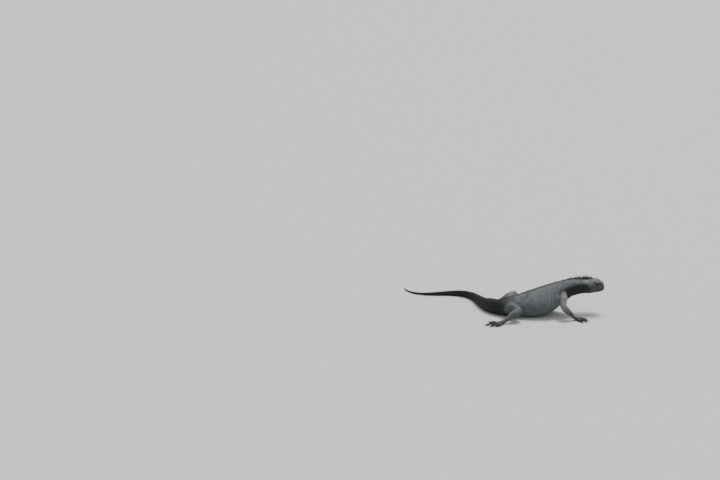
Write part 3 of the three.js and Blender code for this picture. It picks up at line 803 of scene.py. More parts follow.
class Hide:
    """The finished skin, asked for the nearest place and outward direction."""

    def __init__(self, obj):
        self.points, self.faces = points_of(obj.data), triangles_of(obj.data)
        self.tree = BVHTree.FromPolygons(self.points.tolist(), self.faces.tolist())

    def onto(self, wanted):
        """Each wanted point's nearest place on the skin, the normal there, and how far out it was."""
        found = [self.tree.find_nearest(Vector(point)) for point in wanted]
        at = np.array([tuple(hit[0]) for hit in found])
        normal = np.array([tuple(hit[1]) for hit in found])
        return at, normal, dots(wanted - at, normal)

    def hit_by(self, starts, ways):
        """Where a ray from each start along its way meets the skin, or the skin's place nearest to
        the start where it misses."""
        hits = [self.tree.ray_cast(Vector(start), Vector(way)) for start, way in zip(starts, ways)]
        near = [self.tree.find_nearest(Vector(start)) for start in starts]
        return np.array([tuple(hit[0] or spare[0]) for hit, spare in zip(hits, near)])

    def scattered(self, count, ahead_of):
        """Random places on the skin ahead of an x, evenly by area, with their normals: a triangle
        drawn by its area, then a place in it from two random shares."""
        faces = self.faces[self.points[self.faces].mean(1)[:, 0] > ahead_of]
        a, b, c = (self.points[faces[:, n]] for n in range(3))
        flat = np.cross(b - a, c - a)
        area = np.linalg.norm(flat, axis=1)
        picks = draw.choice(len(faces), count, p=area / area.sum())
        u, v = draw.random((2, count))
        beyond = u + v > 1
        u, v = np.where(beyond, 1 - u, u)[:, None], np.where(beyond, 1 - v, v)[:, None]
        return a[picks] + u * (b - a)[picks] + v * (c - a)[picks], unit(flat[picks])


# Scale fields: each gives roots on the hide, the way back along the body, sizes and map places


def rows_of_roots(rings_at, row_places, pitch):
    """Roots in staggered rows: each ring is measured both ways round from its top, and a root stands
    every pitch, with every second row shifted by half."""
    angle = np.linspace(-pi / 2, 3 * pi / 2, 361)
    rows, angles, shares = [], [], []
    for number, (place, step) in enumerate(zip(row_places, pitch)):
        length = travelled(rings_at(np.full(angle.shape, place), angle))
        length -= np.interp(pi / 2, angle, length)
        k = np.arange(np.ceil(length[0] / step) + 1, np.floor(length[-1] / step)) + 0.5 * (number % 2)
        k = k[(k * step > length[0] + 0.4 * step) & (k * step < length[-1] - 0.3 * step)]
        angles.append(np.interp(k * step, length, angle))
        rows.append(np.full(len(k), place))
        shares.append((k * step - length[0]) / (length[-1] - length[0]))
    return np.concatenate(rows), np.concatenate(angles), np.concatenate(shares)


def stack_places(first, last, step):
    """Row places from first to last, each a step on, where the step may change along the way."""
    places = [first]
    while places[-1] + step(places[-1]) < last:
        places.append(places[-1] + step(places[-1]))
    return np.array(places)


class Field:
    """Scales of one region and form: roots, ways back, half sizes, heights and map places, and later
    the skin's normals and how far each scale reaches at each corner."""

    def __init__(self, region, form, roots, backs, long, wide, high, patch):
        self.region, self.form = region, form
        self.rows = {"roots": roots, "backs": backs, "patch": patch.clip(0, 1)}
        for name, value in (("long", long), ("wide", wide), ("high", high)):
            self.rows[name] = np.broadcast_to(value, len(roots)).astype(float)

    def __getattr__(self, name):
        return self.__dict__["rows"][name]

    def part(self, chosen):
        """The same field with only the chosen scales."""
        made = object.__new__(Field)
        made.region, made.form = self.region, self.form
        made.rows = {name: value[chosen] for name, value in self.rows.items()}
        return made

    def level_ways(self):
        """The way back along the skin and the way across it at each root."""
        back = unit(self.backs - self.normals * dots(self.backs, self.normals)[:, None])
        return back, np.cross(self.normals, back)


def head_border(points):
    """Above 0 where the head's mosaic takes over from the trunk's rows, along a wandering line."""
    return points[:, 0] - (HEAD_BACK - 8) + 7 * ripple(points, 26)


def varied(size, spread):
    """The sizes, each changed by its own small draw."""
    return size * (1 + spread * draw.normal(size=len(size)).clip(-2, 2))


def trunk_field():
    """Small pebbled scales in rings from the tail's root to the head, highest along the back."""
    pitch = TRUNK_PITCH * COARSE
    places = stack_places(TAIL_ROOT, TRUNK_FRONT, lambda s: pitch * ROW_STEP)
    s, angle, share = rows_of_roots(hide_at, places, np.full(len(places), pitch))
    at = hide_at(s, angle, -COAT_DEPTH)
    back = way_back(s, angle)
    size = varied(np.full(len(s), pitch * 0.5), 0.09)
    high = varied(size * (0.34 + 0.34 * ramp(np.sin(angle), -0.2, 0.95)), 0.12)
    patch = np.stack([(s - TAIL_ROOT) / (TRUNK_FRONT - TAIL_ROOT), share], 1)
    field = Field("trunk", "pebble", at, back, size, size, high, patch)
    return field.part(head_border(at) <= 0)


def tail_field():
    """Keeled scales in whorls along the tail, longer than wide, smaller towards the tip."""

    def length(s):
        """A whorl's length at s, straight between the named ones."""
        return COARSE * float(np.interp(s, [-580, -500, -400, -120, -25], [1.5, 2.2, 3.0, 4.0, 2.8]))

    places = stack_places(TAIL_TIP + 3, TAIL_ROOT, length)
    steps = np.array([length(s) for s in places])
    s, angle, share = rows_of_roots(hide_at, places, steps * 0.72)
    at = hide_at(s, angle, -COAT_DEPTH)
    back = way_back(s, angle)
    step = varied(np.interp(s, places, steps), 0.05)
    patch = np.stack([(s - TAIL_TIP) / (TAIL_ROOT - TAIL_TIP), share], 1)
    return Field("tail", "keel", at, back, step * 0.56, step * 0.37, 0.2 * step, patch)


def limb_field(places, pitch, region, form, cell, high, belly, bulge=None):
    """Scales in rings round a limb, palm or digit from its start to its end, lower on its underside;
    cell is its part of the region's map."""
    pitch = pitch * COARSE
    last = len(places) - 1
    keys = np.column_stack([np.arange(last + 1), places])
    span = np.linalg.norm(np.diff(places[:, :3], axis=0), axis=1).sum()

    def ring(t, angle):
        """The skin at a step of the limb's path and an angle round it: an ellipse across the path."""
        values = along(keys, t)
        ahead = unit(along(keys, t + 0.02)[..., :3] - along(keys, np.maximum(t, 0.02) - 0.02)[..., :3])
        side = unit(np.cross([0, 0, 1], ahead))
        size = (values[..., 3:] - COAT_DEPTH) * (1 if bulge is None else bulge(t / last)[..., None])
        across = side * (size[..., 0] * np.cos(angle))[..., None]
        return values[..., :3] + across + np.cross(ahead, side) * (size[..., 1] * np.sin(angle))[..., None]

    rows = np.arange(0.02, last, pitch * ROW_STEP * last / span)
    t, angle, share = rows_of_roots(ring, rows, np.full(len(rows), pitch))
    at = ring(t, angle)
    back = unit(ring(np.minimum(t + 0.03, last), angle) - ring(np.minimum(t, last - 0.03), angle))
    size = varied(np.full(len(t), pitch * 0.5), 0.08)
    tall = varied(size * high * (belly + (1 - belly) * ramp(np.sin(angle), -0.6, 0.4)), 0.1)
    left, bottom, wide, height = cell
    patch = np.stack([left + wide * t / last, bottom + height * share], 1)
    return Field(region, form, at, back, size * (1.1 if form == "keel" else 1), size, tall, patch)


def leg_fields():
    """The scales of all four legs: keeled on the limbs, small and close on the feet, plated digits."""
    fields = []
    for number, parts in enumerate(legs.values()):
        for half, key in enumerate(("upper", "lower")):
            cell = (number / 4, half / 2, 0.24, 0.48)
            fields.append(limb_field(parts[key], LIMB_PITCH, "legs", "keel", cell, 0.5, 0.5, calf))
        cells = len(parts["digits"]) + 1
        cell = (number / 4, 0, 0.24, 0.9 / cells)
        fields.append(limb_field(parts["palm"], PALM_PITCH, "feet", "pebble", cell, 0.42, 0.45))
        for n, digit in enumerate(parts["digits"]):
            cell = (number / 4, (n + 1) / cells, 0.24, 0.9 / cells)
            fields.append(limb_field(digit, DIGIT_PITCH, "feet", "plate", cell, 0.45, 0.45, knuckles))
    return fields


def head_radius(points, normals):
    """The size wanted for a scale at each place of the head: big cones on the snout and forehead,
    middling behind, small on the cheeks, throat and eyelids' border, and finest round the ear."""
    back = SNOUT - points[:, 0]
    height = points[:, 2] - MOUTH_HEIGHT
    top = ramp(normals[:, 2], 0.25, 0.75) * ramp(height, 14, 24)
    front = 1 - ramp(back, 46, 64)
    size = HEAD_PLAIN + top * (0.1 + 0.3 * (1 - ramp(back, 66, 88)) + FOREHEAD_MORE * front)
    size += SNOUT_MORE * ramp(height, 12, 20) * (1 - ramp(back, 14, 24)) * (1 - top)
    size += JOWL_MORE * bell(back, 60, 11) * bell(height, -6, 9)
    small = ramp(-normals[:, 2], 0.3, 0.8)
    for side in SIDES:
        depth, around = round_eye(points, side)
        brow = bell(around, LID_FOOT + 1.5, 2.0) * ramp(height, EYE_HEIGHT + 4, EYE_HEIGHT + 10)
        size = size + BROW_MORE * brow * (depth > -8)
        small = np.maximum(small, (1 - ramp(around, LID_FOOT, LID_FOOT + 3)) * (depth > -4) * (1 - brow))
    small = np.maximum(small, 1 - ramp(from_ear(points), 1.5, 2.4))
    small = np.maximum(small, 1 - ramp(from_nostril(points), NOSTRIL_OUT, NOSTRIL_OUT + 1.6))
    return (size + (HEAD_SMALL - size) * small) * COARSE


def lip_share(back):
    """The lips' height so far behind the tip, as a share of that at the front."""
    return 1 - 0.3 * ramp(back, 22, MOUTH_CORNER)


def kept_clear(points, normals):
    """Where no scale of the mosaic stands: on the lip plates, in the nostrils, ears and eyes, and on
    the flats that rest on the floor."""
    above, back = on_mouth(points)
    shrink = lip_share(back)
    lips = (above > -2.9 * shrink) & (above < 3.1 * shrink) & (back < MOUTH_CORNER + 0.5)
    clear = lips & (np.abs(normals[:, 2]) < 0.9)
    clear |= (np.abs(normals[:, 1]) > 0.2) & (from_nostril(points) < NOSTRIL_OUT + 0.3)
    clear |= from_ear(points) < 1.1
    for side in SIDES:
        depth, around = round_eye(points, side)
        clear |= (around < LID_FOOT - 0.4) & (depth > -3)
    return clear | ((normals[:, 2] < -FACES_DOWN) & (points[:, 2] < RESTS_UNDER))


def greedy(places, sizes, shares):
    """Takes random places in turn and keeps each that stands clear of those kept before it by their
    two sizes; each further share tries again with smaller scales in the gaps that are left."""
    kept = np.empty((len(places) * len(shares), 4))
    chosen = []
    for share in shares:
        for n, (place, size) in enumerate(zip(places, sizes * share)):
            near = kept[: len(chosen)]
            apart = ((near[:, :3] - place) ** 2).sum(1)
            if not np.any(apart < (near[:, 3] + size) ** 2 * MOSAIC_NEAR):
                kept[len(chosen)] = (*place, size)
                chosen.append(n)
    return np.array(chosen, int), kept[: len(chosen), 3]


def on_head_map(at, share):
    """Places on the head's part of the map: behind the snout's tip, and a share across."""
    return np.stack([(SNOUT - at[:, 0]) / HEAD_SPAN, np.broadcast_to(share, len(at))], 1)


def head_field(hide):
    """A mosaic of cones and pebbles over the head, highest where they are large and face up."""
    at, normal = hide.scattered(int(HEAD_TRIES / COARSE**2), HEAD_BACK - 18)
    free = ~kept_clear(at, normal) & (head_border(at) > 0)
    at, normal = at[free], normal[free]
    chosen, radius = greedy(at, head_radius(at, normal), (1.0, 0.7, 0.44))
    at, normal = at[chosen], normal[chosen]
    back = np.tile([-1.0, 0, 0], (len(at), 1))
    top = ramp(normal[:, 2], 0.0, 0.6) * ramp(SNOUT - at[:, 0], -1, 4)
    high = varied(radius * (0.4 + 0.62 * ramp(radius, 1.2, 2.0) * (0.3 + 0.7 * top)), 0.12)
    turn = np.arctan2(normal[:, 1], -normal[:, 2]) / tau + 0.5
    return Field("head", "cone", at, back, radius * 1.04, radius * 1.04, high, on_head_map(at, turn))


def lip_fields(hide):
    """The plates along the lips, a row above the mouth line and one below it: a path of rays round
    the snout, first fanned out from its middle and then square to the side back to the corner, with
    plates measured along it both ways. The upper row has one at the very front, the lower a seam."""
    fields = []
    beside = np.arange(LIP_FAN + 1, MOUTH_CORNER + 0.1)
    back = np.concatenate([np.full(LIP_RAYS, float(LIP_FAN)), beside])
    fan = on_circle(np.linspace(0, pi / 2, LIP_RAYS))
    way = np.concatenate([fan, np.tile([0.0, 1.0, 0.0], (len(beside), 1))])
    for row, offset, tall in LIP_ROWS:
        height = np.full(len(back), float(MOUTH_HEIGHT))
        for _ in range(2):
            starts = np.column_stack([SNOUT - back + 40 * way[:, 0], 40 * way[:, 1], height])
            path = hide.hit_by(starts, -way)
            shrink = lip_share(SNOUT - path[:, 0])
            height = MOUTH_HEIGHT + along(MOUTH, SNOUT - path[:, 0])[:, 0] + offset * shrink
        length = travelled(path)
        half = COARSE * np.interp(length, [0, LIP_LONGEST_AT, length[-1]], LIP_LONG)
        first = 0 if row > 0 else half[0]
        middles = stack_places(first, length[-1], lambda at: 2 * float(np.interp(at, length, half)))
        at = at_lengths(path, length, middles)
        size = varied(np.interp(middles, length, half), 0.08)
        backs = unit(np.gradient(at, axis=0))
        pairs = slice(1 if row > 0 else 0, None)
        if row > 0:
            backs[0] = [0, 1, 0]
        patch = on_head_map(at, 0.7 + 0.02 * row)
        other = patch[pairs] * [1, -1] + [0, 1]
        at, backs = (np.concatenate([v, v[pairs] * [1, -1, 1]]) for v in (at, backs))
        tall = tall * np.interp(middles, length, shrink)
        size, tall = (np.concatenate([v, v[pairs]]) for v in (size, tall))
        patch = np.concatenate([patch, other])
        fields.append(Field("head", "lip", at, backs, size, tall, varied(0.34 * size, 0.2), patch))
    return fields


def tree_of(fields):
    """A search tree of all roots, with the roots and each one's size in the same order."""
    roots = np.concatenate([field.roots for field in fields])
    sizes = np.concatenate([np.sqrt(field.long * field.wide) for field in fields])
    tree = KDTree(len(roots))
    for number, root in enumerate(roots):
        tree.insert(Vector(root), number)
    tree.balance()
    return tree, roots, sizes


def settled(fields, hide):
    """Lays every root onto the skin, all but the lip plates' shifted a little at random, and drops
    those that lie inside another part, where the skin is kept clear, or too close to one before."""
    laid = []
    for field in fields:
        loose = 0 if field.form == "lip" else 0.08
        shift = draw.normal(size=(len(field.roots), 3)).clip(-2, 2) * loose * field.wide[:, None]
        at, normal, out = hide.onto(field.roots + shift)
        far = np.linalg.norm(field.roots - at, axis=1)
        field.rows["roots"], field.rows["normals"] = at, normal
        blocked = kept_clear(at, normal) & (field.form != "lip")
        laid.append(field.part((out > -DEEPEST) & (far < FARTHEST) & ~blocked))
    tree, roots, sizes = tree_of(laid)
    owner = np.concatenate([np.full(len(field.roots), n) for n, field in enumerate(laid)])
    alive = np.ones(len(roots), bool)
    for n in range(len(roots)):
        if alive[n]:
            for _, other, away in tree.find_range(Vector(roots[n]), 2.2 * float(sizes[n])):
                close = NEAR_OTHERS if owner[other] != owner[n] else NEAR_OWN
                if other > n and away < close * (sizes[n] + sizes[other]):
                    alive[other] = False
    return [field.part(alive[owner == n]) for n, field in enumerate(laid)]


def gap_fields(fields, hide):
    """Pebbles in the bare places that the fields leave: random places over the whole skin, each
    with the room left to its nearest scales, the roomiest taken first."""
    at, normal = hide.scattered(int(GAP_TRIES / COARSE**2), TAIL_TIP * 2)
    free = ~kept_clear(at, normal)
    at, normal = at[free], normal[free]
    tree, _, sizes = tree_of(fields)
    hits = [tree.find_n(Vector(point), 3) for point in at]
    near = np.array([[hit[1] for hit in three] for three in hits])
    away = np.array([[hit[2] for hit in three] for three in hits])
    wanted = sizes[near[:, 0]]
    room = np.minimum((away - 0.82 * sizes[near]).min(1), wanted)
    order = np.argsort(-room)
    order = order[room[order] > 0.42 * wanted[order]]
    chosen, radius = greedy(at[order], room[order], (1.0, 0.6))
    chosen = order[chosen]
    made, start = [], 0
    for field in fields:
        own = np.flatnonzero((near[chosen, 0] >= start) & (near[chosen, 0] < start + len(field.roots)))
        picks, nearest = chosen[own], near[chosen[own], 0] - start
        start += len(field.roots)
        if len(picks) == 0:
            continue
        size = radius[own]
        step = at[picks] - field.roots[nearest]
        back, across = (way[nearest] for way in field.level_ways())
        shift = np.stack([dots(step, back), dots(step, across)], 1) / BAKE_SPANS[field.region]
        high = size * (field.high / field.wide)[nearest]
        patch = field.patch[nearest] + shift
        gap = Field(field.region, "pebble", at[picks], field.backs[nearest], size, size, high, patch)
        gap.rows["normals"] = normal[picks]
        made.append(gap)
    return made


def scale_form(corners, rings, tip, narrow=1.0, square=0.0):
    """A form of scale by how many corners it has; for each ring above its foot the share of its
    reach, how far it leans back and its height as a share of the scale's; its tip's lean and height;
    how narrow it is above its foot; and how far its corners draw in towards the diagonals. Its foot
    lies 0.4 mm inside the skin."""
    rings = [(1.0, 0, -0.4), *rings]
    return {"corners": corners, "rings": rings, "tip": tip, "narrow": narrow, "square": square}


FORMS = {
    "pebble": scale_form(6, [(0.8, 0.05, 0.7)], (0.16, 1.0)),
    "keel": scale_form(6, [(0.84, 0.1, 0.5)], (0.5, 1.25), narrow=0.7),
    "plate": scale_form(8, [(0.96, 0, 0.5), (0.78, 0, 0.94)], (0.0, 1.08)),
    "lip": scale_form(8, [(0.95, 0, 0.55), (0.78, 0, 0.92)], (0.0, 1.0), square=0.12),
    "cone": scale_form(8, [(0.88, 0.03, 0.4), (0.5, 0.1, 0.82)], (0.22, 1.14)),
}


def corner_turns(form):
    """The turn of each corner from the way back: between the neighbours of a staggered row, and on
    a squarer form drawn in towards the diagonals."""
    count = FORMS[form]["corners"]
    turn = turns(count) + (pi / 8 if count == 8 else 0)
    return turn + FORMS[form]["square"] * np.sin(4 * turn)


def oval(long, wide, turn):
    """The reach of an ellipse at a turn from its long axis."""
    return 1 / np.sqrt((np.cos(turn) / long) ** 2 + (np.sin(turn) / wide) ** 2)


def fit_together(fields):
    """How far each scale reaches at each corner: to the line between it and each neighbour that the
    corner faces, which parts their distance by their sizes, less half a seam, but never under 0.4 of
    its own oval nor more than a third beyond it."""
    tree, roots, sizes = tree_of(fields)
    near = np.array([[hit[1] for hit in tree.find_n(Vector(root), 10)][1:] for root in roots])
    start = 0
    for field in fields:
        others = near[start : start + len(field.roots)]
        start += len(field.roots)
        step = roots[others] - field.roots[:, None]
        back, across = field.level_ways()
        along_back, sideways = dots(step, back[:, None]), dots(step, across[:, None])
        away = np.maximum(np.hypot(along_back, sideways), 0.05)
        bearing = np.arctan2(sideways, along_back)
        own = oval(field.long[:, None], field.wide[:, None], bearing)
        border = away * own / (own + sizes[others]) - SEAM / 2
        turn = corner_turns(field.form)
        facing = np.cos(bearing[..., None] - turn)
        limit = np.where(facing > 0.25, border[..., None] / np.maximum(facing, 0.25), np.inf).min(1)
        most = oval(field.long[:, None], field.wide[:, None], turn)
        field.rows["reach"] = np.clip(limit, 0.4 * most, 1.33 * most)


def scale_shells(field):
    """All scales of a field at once: rings of points round each root in its own level directions,
    raised by their height and leaned back, closed by a tip above and a fan below."""
    form = FORMS[field.form]
    turn, rings = corner_turns(field.form), form["rings"]
    sides = len(turn)
    out = field.normals
    back, across = field.level_ways()
    layers = []
    for number, (share, lean, height) in enumerate(rings):
        narrow = 1 if number == 0 else form["narrow"]
        along_back = field.reach * np.cos(turn) * share + (lean * field.long)[:, None]
        sideways = field.reach * np.sin(turn) * share * narrow
        raised = np.full(len(out), height) if height < 0 else height * field.high
        layer = field.roots[:, None] + back[:, None] * along_back[..., None]
        layers.append(layer + across[:, None] * sideways[..., None] + (out * raised[:, None])[:, None])
    lean, height = form["tip"]
    tip = field.roots + back * (lean * field.long)[:, None] + out * (height * field.high)[:, None]
    points = np.concatenate([*layers, tip[:, None]], 1)
    size = points.shape[1]
    k = np.arange(sides)
    top = (len(rings) - 1) * sides
    below = np.stack([np.zeros(sides - 2, int), k[2:], k[1:-1]], 1)
    above = np.stack([top + k, top + (k + 1) % sides, np.full(sides, size - 1)], 1)
    one = np.concatenate([below, bands(len(rings), sides), above])
    points = lifted(points.reshape(-1, 3), SCALE_LOW)
    flat = np.concatenate([*(on_circle(turn) * share for share, *_ in rings), np.zeros((1, 3))])
    return points, for_each(one, len(out), size), patches(field.region, field.patch, flat), size


def patches(region, places, flat):
    """Map places: the region's rectangle filled by the shares, with each shape's own small patch."""
    left, bottom, wide, high = BAKE_PLACES[region]
    first = [left + BAKE_PATCH / 2, bottom + BAKE_PATCH / 2]
    middles = places * [wide - BAKE_PATCH, high - BAKE_PATCH] + first
    return (middles[:, None] + flat[None, :, :2] * BAKE_PATCH / 2).reshape(-1, 2)


def marks(points, normals):
    """Markings shared by skin and coat, from 0 to 1: how dark the hide is (tail, rump, feet, a little in
    the ear, and the neck's and head's sides and the neck's underside, which are partly dark skin and partly
    painted shade), and how pale: dusted with salt on what faces up, most on the head, whose pale top is
    partly a painted sky reflection, with a painted highlight on the shoulders and upper arms, and paler
    ridges of the flank's folds."""
    s = tail_place(points)
    height, up = points[:, 2], normals[:, 2]
    outwards = np.linalg.norm((points - spine(s)[0])[:, :2], axis=1)
    tail = ramp(-s, -50, 28) * (1 - 0.75 * ramp(outwards, 34, 48))
    foot = FOOT_DARK * (1 - ramp(height, 8, 24)) * ramp(outwards, 70, 90)
    # The neck's and head's sides and the neck's underside, where they do not face up, are darker: partly
    # dark skin, partly painted shade.
    throat = np.maximum(ramp(s, 226, 244), ramp(height, 60, 74)) * (1 - ramp(outwards, 46, 56))
    neck = ramp(s + 5 * ripple(points, 40), 184, 202) * throat
    neck *= (1 - ramp(up, 0.3, 0.85)) * (1 - 0.42 * ramp(s, 300, 340))
    drum = (1 - ramp(from_ear(points), 0.95, 1.15)) * (s > HEAD_BACK)
    dark = np.maximum(np.maximum(tail, foot), np.maximum(neck, DRUM_DARK * drum))
    # Salt dust on what faces up; the extra on the head, its pale top, is partly a painted sky reflection.
    dust_and_painted_light = ramp(up, -0.1, 0.85) * (1 - 0.8 * tail) * (0.4 + 0.8 * ramp(s, 284, 330))
    # Painted highlight: the shoulders and upper arms made paler, as if lit.
    dust_and_painted_light += SHOULDER_PAINTED_LIGHT * bell(s, 200, 34) * ramp(outwards, 40, 58) * ramp(height, 26, 46)
    # Paler on the ridges of the flank's folds.
    streaks = FOLD_RIDGE_PALE * np.maximum(flank_folds(points, normals), 0)
    return {"dark": dark, "dust_and_painted_light": (dust_and_painted_light + streaks).clip(0, 1) * (1 - drum)}


def coat_piece(name, fields, shells, material):
    """One piece of the coat from several fields' shells, with its map and markings."""
    points, faces = join([shell[:2] for shell in shells])
    obj = shape_object(name, points, faces, material)
    set_bake_map(obj, np.concatenate([shell[2] for shell in shells]))
    sizes = [shell[3] for shell in shells]
    values = [marks(field.roots, field.normals) for field in fields]
    for key in ("dark", "dust_and_painted_light"):
        parts = [np.repeat(value[key], size) for value, size in zip(values, sizes)]
        set_attributes(obj, {key: np.concatenate(parts)})
    tones = [np.repeat(draw.uniform(-1, 1, len(field.roots)), size) for field, size in zip(fields, sizes)]
    set_attributes(obj, {"tone": np.concatenate(tones)})
    return obj


def make_coat(name, fields, material):
    """The coat of a region, cut into handfuls of scales that fill one piece after another."""
    starts = [(field, n) for field in fields for n in range(0, len(field.roots), HANDFUL)]
    pieces, used = [([], [])], 0
    for whole, start in starts:
        field = whole.part(slice(start, start + HANDFUL))
        shell = scale_shells(field)
        if used + len(shell[1]) > PIECE_TRIANGLES:
            pieces.append(([], []))
            used = 0
        pieces[-1][0].append(field)
        pieces[-1][1].append(shell)
        used += len(shell[1])
    for number, (parts, shells) in enumerate(pieces):
        coat_piece(name + "_" + str(number + 1), parts, shells, material)


# Crest


def make_crest(hide, material):
    """The crest: flat spines that curve back, close behind one another. Each is a six-sided section
    carried up a bending path, its half length shrinking as 1 - level^1.7 like a leaf, and on the
    nape as (1 - level)^0.55, full to near its point."""
    s = stack_places(TAIL_TIP + 5, CREST[-1][0] + 2, lambda at: COARSE * float(along(CREST, at)[1]))
    height, _, long = along(CREST, s).T
    at = hide.onto(hide_at(s, pi / 2))[0]
    back = way_back(s, pi / 2, 2)
    left = spine(s)[1]
    up = unit(np.cross(back, left))
    up *= np.sign(up[:, 2:])
    nape = ramp(s, 236, 266)
    height = height * (1 + draw.uniform(-1, 1, len(s)) * (0.1 + 0.2 * nape))
    thick = np.interp(s, *np.transpose(CREST_THICK))
    sway = draw.uniform(-1, 1, len(s)) * (0.06 + 0.05 * nape)
    turn = turns(CREST_SIDES)
    rings = []
    for level in CREST_LEVELS:
        rise = -CREST_ROOT + (height + CREST_ROOT) * level
        above = np.maximum(rise, 0)
        lean = (0.3 + 0.14 * nape) * above**1.4 / np.maximum(height, 1) ** 0.4
        size = (1 - level**1.7) * (1 - nape) + (1 - level) ** 0.55 * nape + 0.02
        centre = at + up * rise[:, None] + back * lean[:, None] + left * (sway * above)[:, None]
        ring = centre[:, None] + back[:, None] * np.outer(long * size, np.cos(turn))[..., None]
        rings.append(ring + left[:, None] * np.outer(thick * size**0.7, np.sin(turn))[..., None])
    points = np.concatenate(rings, 1)
    size = points.shape[1]
    k = np.arange(CREST_SIDES - 2)
    below = np.stack([np.zeros(len(k), int), k + 1, k + 2], 1)
    sides = bands(len(CREST_LEVELS), CREST_SIDES)
    one = outward(points[0], np.concatenate([below[:, ::-1], sides, below + size - CREST_SIDES]))[1]
    points = lifted(points.reshape(-1, 3), SKIN_LOW)
    obj = shape_object("crest", points, for_each(one, len(s), size), material)
    share = 0.45 + 0.55 * np.maximum(nape, ramp(-s, -40, 40))
    set_attributes(obj, {"rise": (share[:, None] * np.repeat(CREST_LEVELS, CREST_SIDES)).ravel()})
    set_attributes(obj, {"tone": np.repeat(draw.uniform(-1, 1, len(s)), size)})
    places = np.stack([(s - TAIL_TIP) / (SNOUT - TAIL_TIP), np.full(len(s), 0.5)], 1)
    ovals = [on_circle(turn) * (1 - level * 0.8) for level in CREST_LEVELS]
    set_bake_map(obj, patches("crest", places, np.concatenate(ovals)))


# Eyes, lids and nostrils


def placed_round(centre, look, front, top, points):
    """Points given along front, top and outwards, in the animal's own directions."""
    return centre + points[..., :1] * front + points[..., 1:2] * top + points[..., 2:] * look


def make_eye(side, material):
    """An eyeball: a ball whose front bulges a little as the cornea."""
    polar = np.radians(np.concatenate([[0.5], np.arange(4, 60, 4), np.arange(60, 180, 10), [179.5]]))
    turn = turns(EYE_SIDES)
    radius = EYE_RADIUS + 0.45 * (1 - ramp(np.degrees(polar), 22, 40))
    wide, out = radius * np.sin(polar), radius * np.cos(polar)
    rings = on_circle(turn) * wide[:, None, None] + out[:, None, None] * [0, 0, 1]
    points, faces = loft(placed_round(*eye_frame(side), rings))
    obj = shape_object("eyeball_" + side, points, faces, material)
    depth, around = round_eye(points, side)
    set_attributes(obj, {"off_axis": np.degrees(np.arctan2(around, depth))})
    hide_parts("eye_" + side)


def on_ball(centre, look, outwards, polar, radius):
    """Places round a ball's middle: each so far from it, at an angle from the way it looks."""
    return centre + outwards * (radius * np.sin(polar))[:, None] + look * (radius * np.cos(polar))[:, None]


def lid_edge(turn):
    """The opening's half angle at a turn round the eye's axis: an ellipse, flatter above."""
    tall = np.where(np.sin(turn) > 0, LID_OPEN_UP, LID_OPEN_DOWN)
    return oval(LID_OPEN_WIDE, tall, turn)


def lid_surface(side, hide, turn):
    """Rings of the lids' outside from the rim to the foot on the skin. Over the ball they follow it
    at a height that gives a rounded rim, a groove and a swelling; from there a cubic runs out to the
    skin, where it dips under the scales, and rises above the eye as the brow."""
    centre, look, front, top = eye_frame(side)
    edge = lid_edge(turn)
    outwards = placed_round(0, look, front, top, on_circle(turn))
    rings = []
    for share in np.linspace(0, 1, LID_ROWS):
        polar = np.radians(edge + (LID_TURN - edge) * share)
        rim = 0.3 + 0.62 * bell(share, 0.14, 0.15) + 0.5 * ramp(share, 0.35, 0.75)
        radius = EYE_RADIUS + 0.1 + rim * ramp(share, -0.08, 0.08)
        rings.append(on_ball(centre, look, outwards, polar, radius))
    starts = centre + outwards * LID_FOOT + look * 30
    foot = hide.hit_by(starts, np.broadcast_to(-look, starts.shape)) - look * 0.6
    root = rings[-1]
    span = np.linalg.norm(foot - root, axis=1)[:, None]
    bend = radians(LID_TURN)
    leave = 0.5 * (outwards * cos(bend) - look * sin(bend)) * span + 0.5 * (foot - root)
    arrive = 0.5 * unit(outwards - look * 0.2) * span + 0.5 * (foot - root)
    brow = (1.7 * np.maximum(np.sin(turn + 0.25), 0) ** 1.5)[:, None] * unit(look + 0.5 * top)
    for t in np.linspace(0, 1, LID_ROWS)[1:]:
        curve = root * (1 + 2 * t) * (1 - t) ** 2 + leave * t * (1 - t) ** 2
        curve += foot * t * t * (3 - 2 * t) - arrive * t * t * (1 - t)
        rings.append(curve + brow * bell(t, 0.6, 0.28))
    return np.array(rings)


def make_lids(side, hide, material):
    """Both lids of an eye as one shell: the outside's rings, and three rings back under them to the
    rim along the inside of the ball."""
    centre, look, front, top = eye_frame(side)
    turn = turns(LID_SIDES)
    outside = lid_surface(side, hide, turn)
    outwards = placed_round(0, look, front, top, on_circle(turn))
    inside = [outside[-1] - look * 1.6]
    for off_axis, sunk in ((np.full(LID_SIDES, 88.0), 0.7), (lid_edge(turn) + 3, 0.5)):
        inside.append(on_ball(centre, look, outwards, np.radians(off_axis), EYE_RADIUS - sunk))
    rings = np.concatenate([outside, inside])
    points, faces = outward(rings.reshape(-1, 3), bands(len(rings), LID_SIDES, closed=True))
    obj = shape_object("lids_" + side, points, faces, material)
    values = marks(points, point_normals(points, faces))
    set_attributes(obj, {**values, "tone": np.zeros(len(points))})


